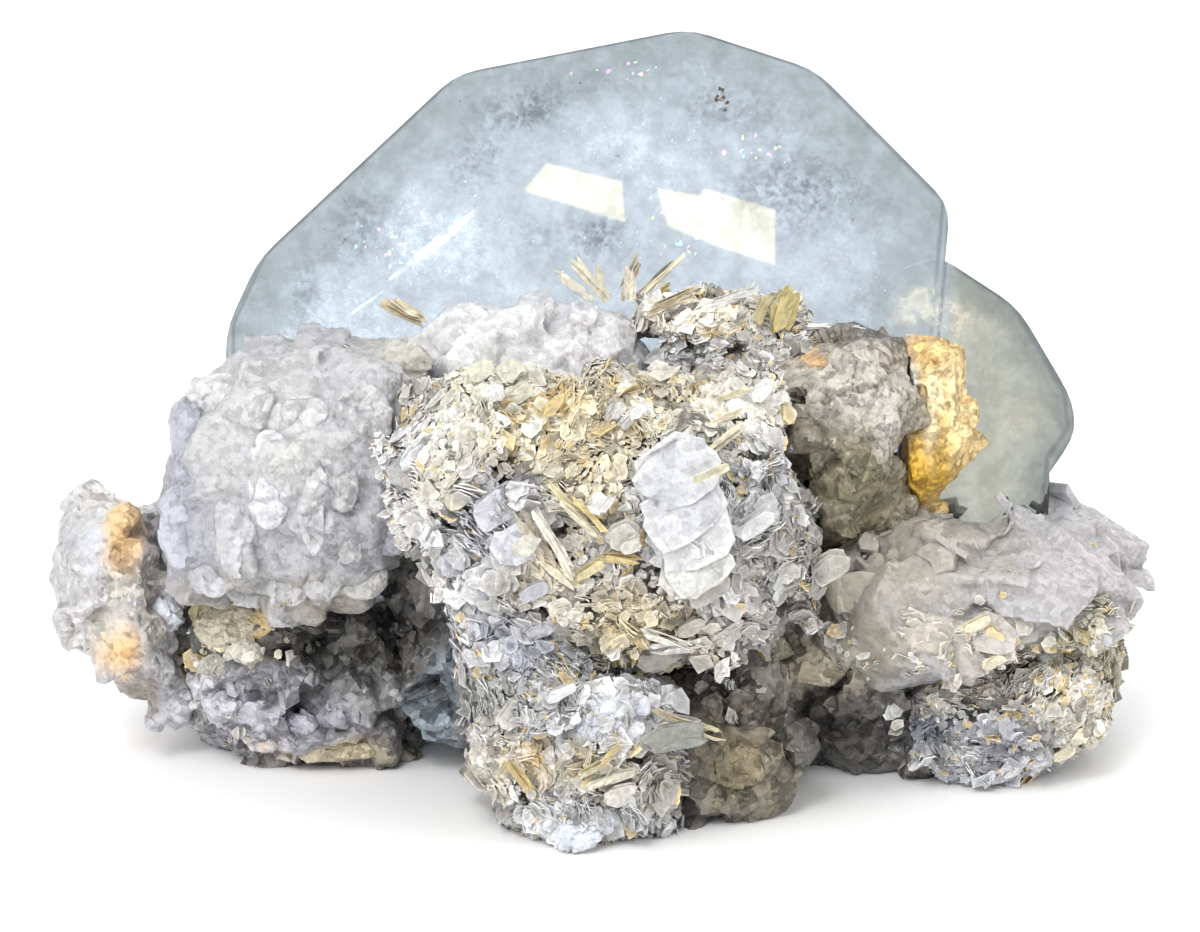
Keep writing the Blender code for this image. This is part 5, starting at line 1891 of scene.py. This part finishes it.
STAINED_LUMPS = (
    Lump((232, 628), (36, 22), (0.70, 0.64, 0.50), 0.6), Lump((206, 616), (16, 14), (0.66, 0.58, 0.36), 0.7), Lump((262, 622), (14, 18), (0.78, 0.60, 0.34), 0.6),
    Lump((246, 652), (20, 12), (0.74, 0.70, 0.60), 0.6), Lump((168, 612), (17, 19), (0.86, 0.89, 0.99), 2.2), Lump((340, 752), (44, 9), (0.62, 0.54, 0.38), 0.8, 4),
    Lump((818, 664), (32, 22), (0.92, 0.84, 0.64), 0.5), Lump((786, 648), (18, 14), (0.84, 0.78, 0.62), 0.5), Lump((738, 762), (26, 26), (0.25, 0.21, 0.13), 0.4),
    Lump((186, 690), (16, 15), (0.70, 0.68, 0.68), 0.6), Lump((222, 706), (18, 14), (0.56, 0.56, 0.62), 0.6), Lump((262, 716), (20, 15), (0.60, 0.60, 0.68), 0.6),
    Lump((300, 724), (18, 14), (0.50, 0.50, 0.57), 0.6), Lump((262, 742), (18, 12), (0.54, 0.52, 0.52), 0.6), Lump((340, 712), (16, 13), (0.40, 0.40, 0.45), 0.6),
    Lump((212, 668), (16, 12), (0.44, 0.42, 0.38), 0.6), Lump((296, 672), (18, 12), (0.20, 0.20, 0.22), 0.5),
)
WHITE_LUMPS = (
    Lump((612, 712), (20, 16), (0.72, 0.74, 0.80), 0.5), Lump((634, 704), (16, 12), (0.76, 0.78, 0.84), 0.5), Lump((626, 732), (22, 13), (0.70, 0.71, 0.74), 0.5),
    Lump((590, 728), (14, 12), (0.64, 0.66, 0.72), 0.5), Lump((578, 836), (24, 14), (0.70, 0.73, 0.80), 0.6), Lump((604, 822), (14, 11), (0.64, 0.66, 0.70), 0.5),
    Lump((622, 392), (13, 12), (0.76, 0.75, 0.73), 0.6), Lump((132, 598), (5, 7), (0.72, 0.74, 0.80), 0.8),
)
# Sunken places that are darkened with painted shade.
CENTRE_PITS = (
    Pit((705, 444), (20, 13), 2.6), Pit((765, 452), (24, 8), 2.2), Pit((415, 560), (10, 16)), Pit((600, 660), (12, 10), 2.2),
    Pit((790, 612), (20, 12), 2.4), Pit((470, 566), (18, 6)), Pit((632, 478), (10, 7)), Pit((560, 530), (7, 10)),
    Pit((720, 548), (7, 14)), Pit((540, 612), (16, 8)), Pit((448, 532), (8, 12)), Pit((600, 520), (6, 8)),
)
FOOT_PITS = (Pit((700, 690), (16, 20), 2.2), Pit((610, 672), (26, 8), 2.2), Pit((640, 760), (16, 6)), Pit((548, 740), (10, 8)), Pit((520, 800), (10, 6)))
CREST_PITS = (Pit((690, 345), (10, 8), 1.5), Pit((735, 352), (12, 8), 1.5), Pit((660, 340), (8, 6), 1.2))


def main() -> None:
    """Builds every piece in order."""
    logging.basicConfig(level=logging.INFO, format="%(message)s")
    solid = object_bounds()
    margin = 0.35 * MM
    limits = (np.array(solid[0]) - np.array([margin, margin, 0.0]), np.array(solid[1]) + margin)
    books = BladeSet("single_books", BLADES, limits, Slot.MICA, brightness=0.84)
    tiles = BladeSet("cleavage_tiles", TILES, limits, Slot.FELDSPAR, thickness_mm=0.16, brightness=0.96, corners=15, jagged=(0.84, 1.06), seed=78)
    LumpSet("feldspar_lobes", Slot.FELDSPAR, FELDSPAR, FELDSPAR_LUMPS, limits, 3.2, 0.2, 0.12, sharp_deg=80, seed=60).build()
    LumpSet("stained_lumps", Slot.STAIN, KNOB, STAINED_LUMPS, limits, 1.5, 0.45, seed=160).build()
    LumpSet("white_grains", Slot.FELDSPAR, FELDSPAR, WHITE_LUMPS, limits, 1.1, 0.5, seed=260).build()
    tiles.build(FELDSPAR.material())
    books.build(BOOK_FINISH.material())
    crystal = Aquamarine()
    crystal.build()
    slabs = Shards(40, (0.7, 2.4), spin=0.15, lie=2.2, thick=(0.25, 0.5), corners=8)
    rocks = (
        Rock(
            "feldspar_left", Slot.FELDSPAR, FELDSPAR, FELDSPAR_TONES, limits, block_mm=3.6, block_tilt=0.28, block_jut=0.26, grain_tilt=0.25,
            grain_weight=0.22, wander_mm=0.6, soften=3, longer=(1.0, 1.0, 2.2), keep=0.4, sharp_deg=70, seed=11,
        ),
        Rock(
            "feldspar_crest", Slot.FELDSPAR, FELDSPAR, CREST_STONE, limits, block_mm=5.0, block_tilt=0.4, grain_tilt=0.25,
            grain_weight=0.14, wander_mm=0.3, soften=1, keep=0.4, sharp_deg=60, seed=12,
        ),
        Rock(
            "feldspar_right", Slot.FELDSPAR, FELDSPAR, FELDSPAR_TONES, limits, block_mm=7.5, block_tilt=0.42, grain_tilt=0.25,
            grain_weight=0.16, wander_mm=0.2, soften=1, keep=0.4, sharp_deg=45, shards=slabs, seed=13,
        ),
        Rock(
            "quartz_block", Slot.QUARTZ, QUARTZ, QUARTZ_TONES, limits, block_mm=6.5, block_tilt=0.42, grain_weight=0.24, sharp_deg=30,
            shards=Shards(36, (0.5, 1.3), lie=1.6), seed=14,
        ),
        Rock(
            "stained_ledge", Slot.STAIN, LEDGE, LEDGE_TONES, limits, voxel_mm=0.24, block_mm=7.0, block_tilt=0.08, block_jut=0.05, grain_mm=1.3,
            grain_weight=0.22, wander_mm=0.1, longer=(1, 1, 3.0), seed=15,
        ),
        Rock(
            "stained_knob", Slot.STAIN, KNOB, KNOB_TONES, limits, block_mm=4.5, grain_tilt=0.3, grain_weight=0.22, soften=2, keep=0.4,
            sharp_deg=45, shards=Shards(40, (0.4, 1.0)), seed=16,
        ),
        Rock(
            "matrix_base", Slot.MATRIX, BASE, BASE_TONES, limits, voxel_mm=0.34, block_mm=5.0, grain_mm=1.8, block_tilt=0.6,
            shards=Shards(500, (0.4, 1.2)), seed=17,
        ),
    )
    for rock in rocks:
        rock.build()
    scaly = (Patch((560, 410), (120, 50), WHITE), Patch((700, 410), (100, 45), WHITE), Patch((425, 450), (60, 55), WHITE), Patch((600, 490), (70, 55), WHITE, 0.7))
    platy = (Patch((490, 540), (70, 60), WHITE), Patch((450, 600), (50, 40), WHITE, 0.7), Patch((740, 560), (60, 60), WHITE, 0.5))
    crinkly = (Patch((765, 500), (50, 65), WHITE), Patch((790, 590), (40, 45), WHITE), Patch((520, 630), (70, 36), WHITE, 0.8), Patch((640, 630), (50, 36), WHITE, 0.8))
    bright = (Patch((590, 700), (70, 40), WHITE), Patch((510, 760), (50, 60), WHITE), Patch((580, 820), (60, 36), WHITE))
    clusters = (
        MicaCluster(
            "muscovite_centre", limits, CENTRE_TONES, (
                LeafLayer("filling", 1400, (0.35, 1.3), 3, 8),
                LeafLayer(
                    "scales", 8000, (0.2, 0.56), 1, 6, lean=0.55, jitter=0.24, standing=0.1, uneven=0.15, jagged=(0.7, 1.1), within=scaly, elsewhere=0.25,
                    accents=(((0.98, 0.98, 0.97), 0.08), ((0.86, 0.72, 0.42), 0.1), ((0.42, 0.38, 0.3), 0.03)),
                ),
                LeafLayer(
                    "plates", 420, (0.6, 1.7), 4, 6, (0.06, 0.16), lean=0.3, jitter=0.12, standing=0.08, lift_mm=0.25, uneven=0.16, accents=PLAIN, within=platy,
                ),
                LeafLayer("crinkles", 1200, (0.3, 1.1), 3, lean=0.8, jitter=0.35, standing=0.6, within=crinkly),
            ), pits=CENTRE_PITS, seed=21,
        ),
        MicaCluster(
            "muscovite_foot", limits, FOOT_TONES, (
                LeafLayer("filling", 1000, (0.35, 1.3), 3, 8),
                LeafLayer("scales", 3000, (0.2, 0.65), 1, 6, lean=0.6, jitter=0.25, uneven=0.16, within=bright, elsewhere=0.2),
                LeafLayer("plates", 260, (0.6, 1.6), 4, 6, (0.06, 0.16), lean=0.4, jitter=0.15, standing=0.1, lift_mm=0.25, uneven=0.2, accents=PLAIN),
                LeafLayer("crinkles", 700, (0.3, 1.1), 3, lean=0.8, jitter=0.35, standing=0.6),
            ), pits=FOOT_PITS, seed=22,
        ),
        MicaCluster(
            "muscovite_right", limits, RIGHT_TONES, (
                LeafLayer("filling", 480, (0.35, 1.4), 3), LeafLayer("scales", 900, (0.3, 0.8), 2, lean=0.5),
                LeafLayer("crinkles", 400, (0.3, 1.0), 3, lean=0.8, jitter=0.35, standing=0.6),
            ), seed=23,
        ),
        MicaCluster(
            "muscovite_crest", limits, CREST_TONES, (
                LeafLayer("filling", 260, (0.35, 1.2), 3), LeafLayer("scales", 900, (0.25, 0.7), 2, lean=0.5),
                LeafLayer("crinkles", 300, (0.3, 0.9), 3, lean=0.8, jitter=0.35, standing=0.6),
            ), (0.0, -0.7, 0.8), pits=CREST_PITS, seed=24,
        ),
        MicaCluster(
            "matrix_base", limits, STRAY_TONES, (
                LeafLayer("strays", 300, (0.35, 1.2), 4, elsewhere=0.0, within=(
                    Patch((230, 640), (60, 30), WHITE), Patch((220, 740), (50, 20), WHITE, 0.5), Patch((720, 640), (60, 60), WHITE), Patch((900, 700), (40, 30), WHITE, 0.4),
                )),
            ), core=False, seed=25,
        ),
        MicaCluster(
            "feldspar_right", limits, STRAY_TONES, (
                LeafLayer("strays", 520, (0.3, 1.2), 4, elsewhere=0.0, within=(
                    Patch((960, 650), (90, 30), WHITE), Patch((832, 600), (16, 46), WHITE), Patch((1090, 640), (30, 40), WHITE, 0.7),
                )),
            ), core=False, seed=26,
        ),
        MicaCluster(
            "feldspar_left", limits, STRAY_TONES, (
                LeafLayer("strays", 60, (0.35, 1.0), 4, elsewhere=0.0, within=(Patch((240, 610), (60, 14), GOLD), Patch((420, 420), (30, 60), WHITE))),
            ), core=False, seed=27,
        ),
    )
    for cluster in clusters:
        cluster.build()
    Studio().build(crystal.plate)


if __name__ == "__main__":
    main()
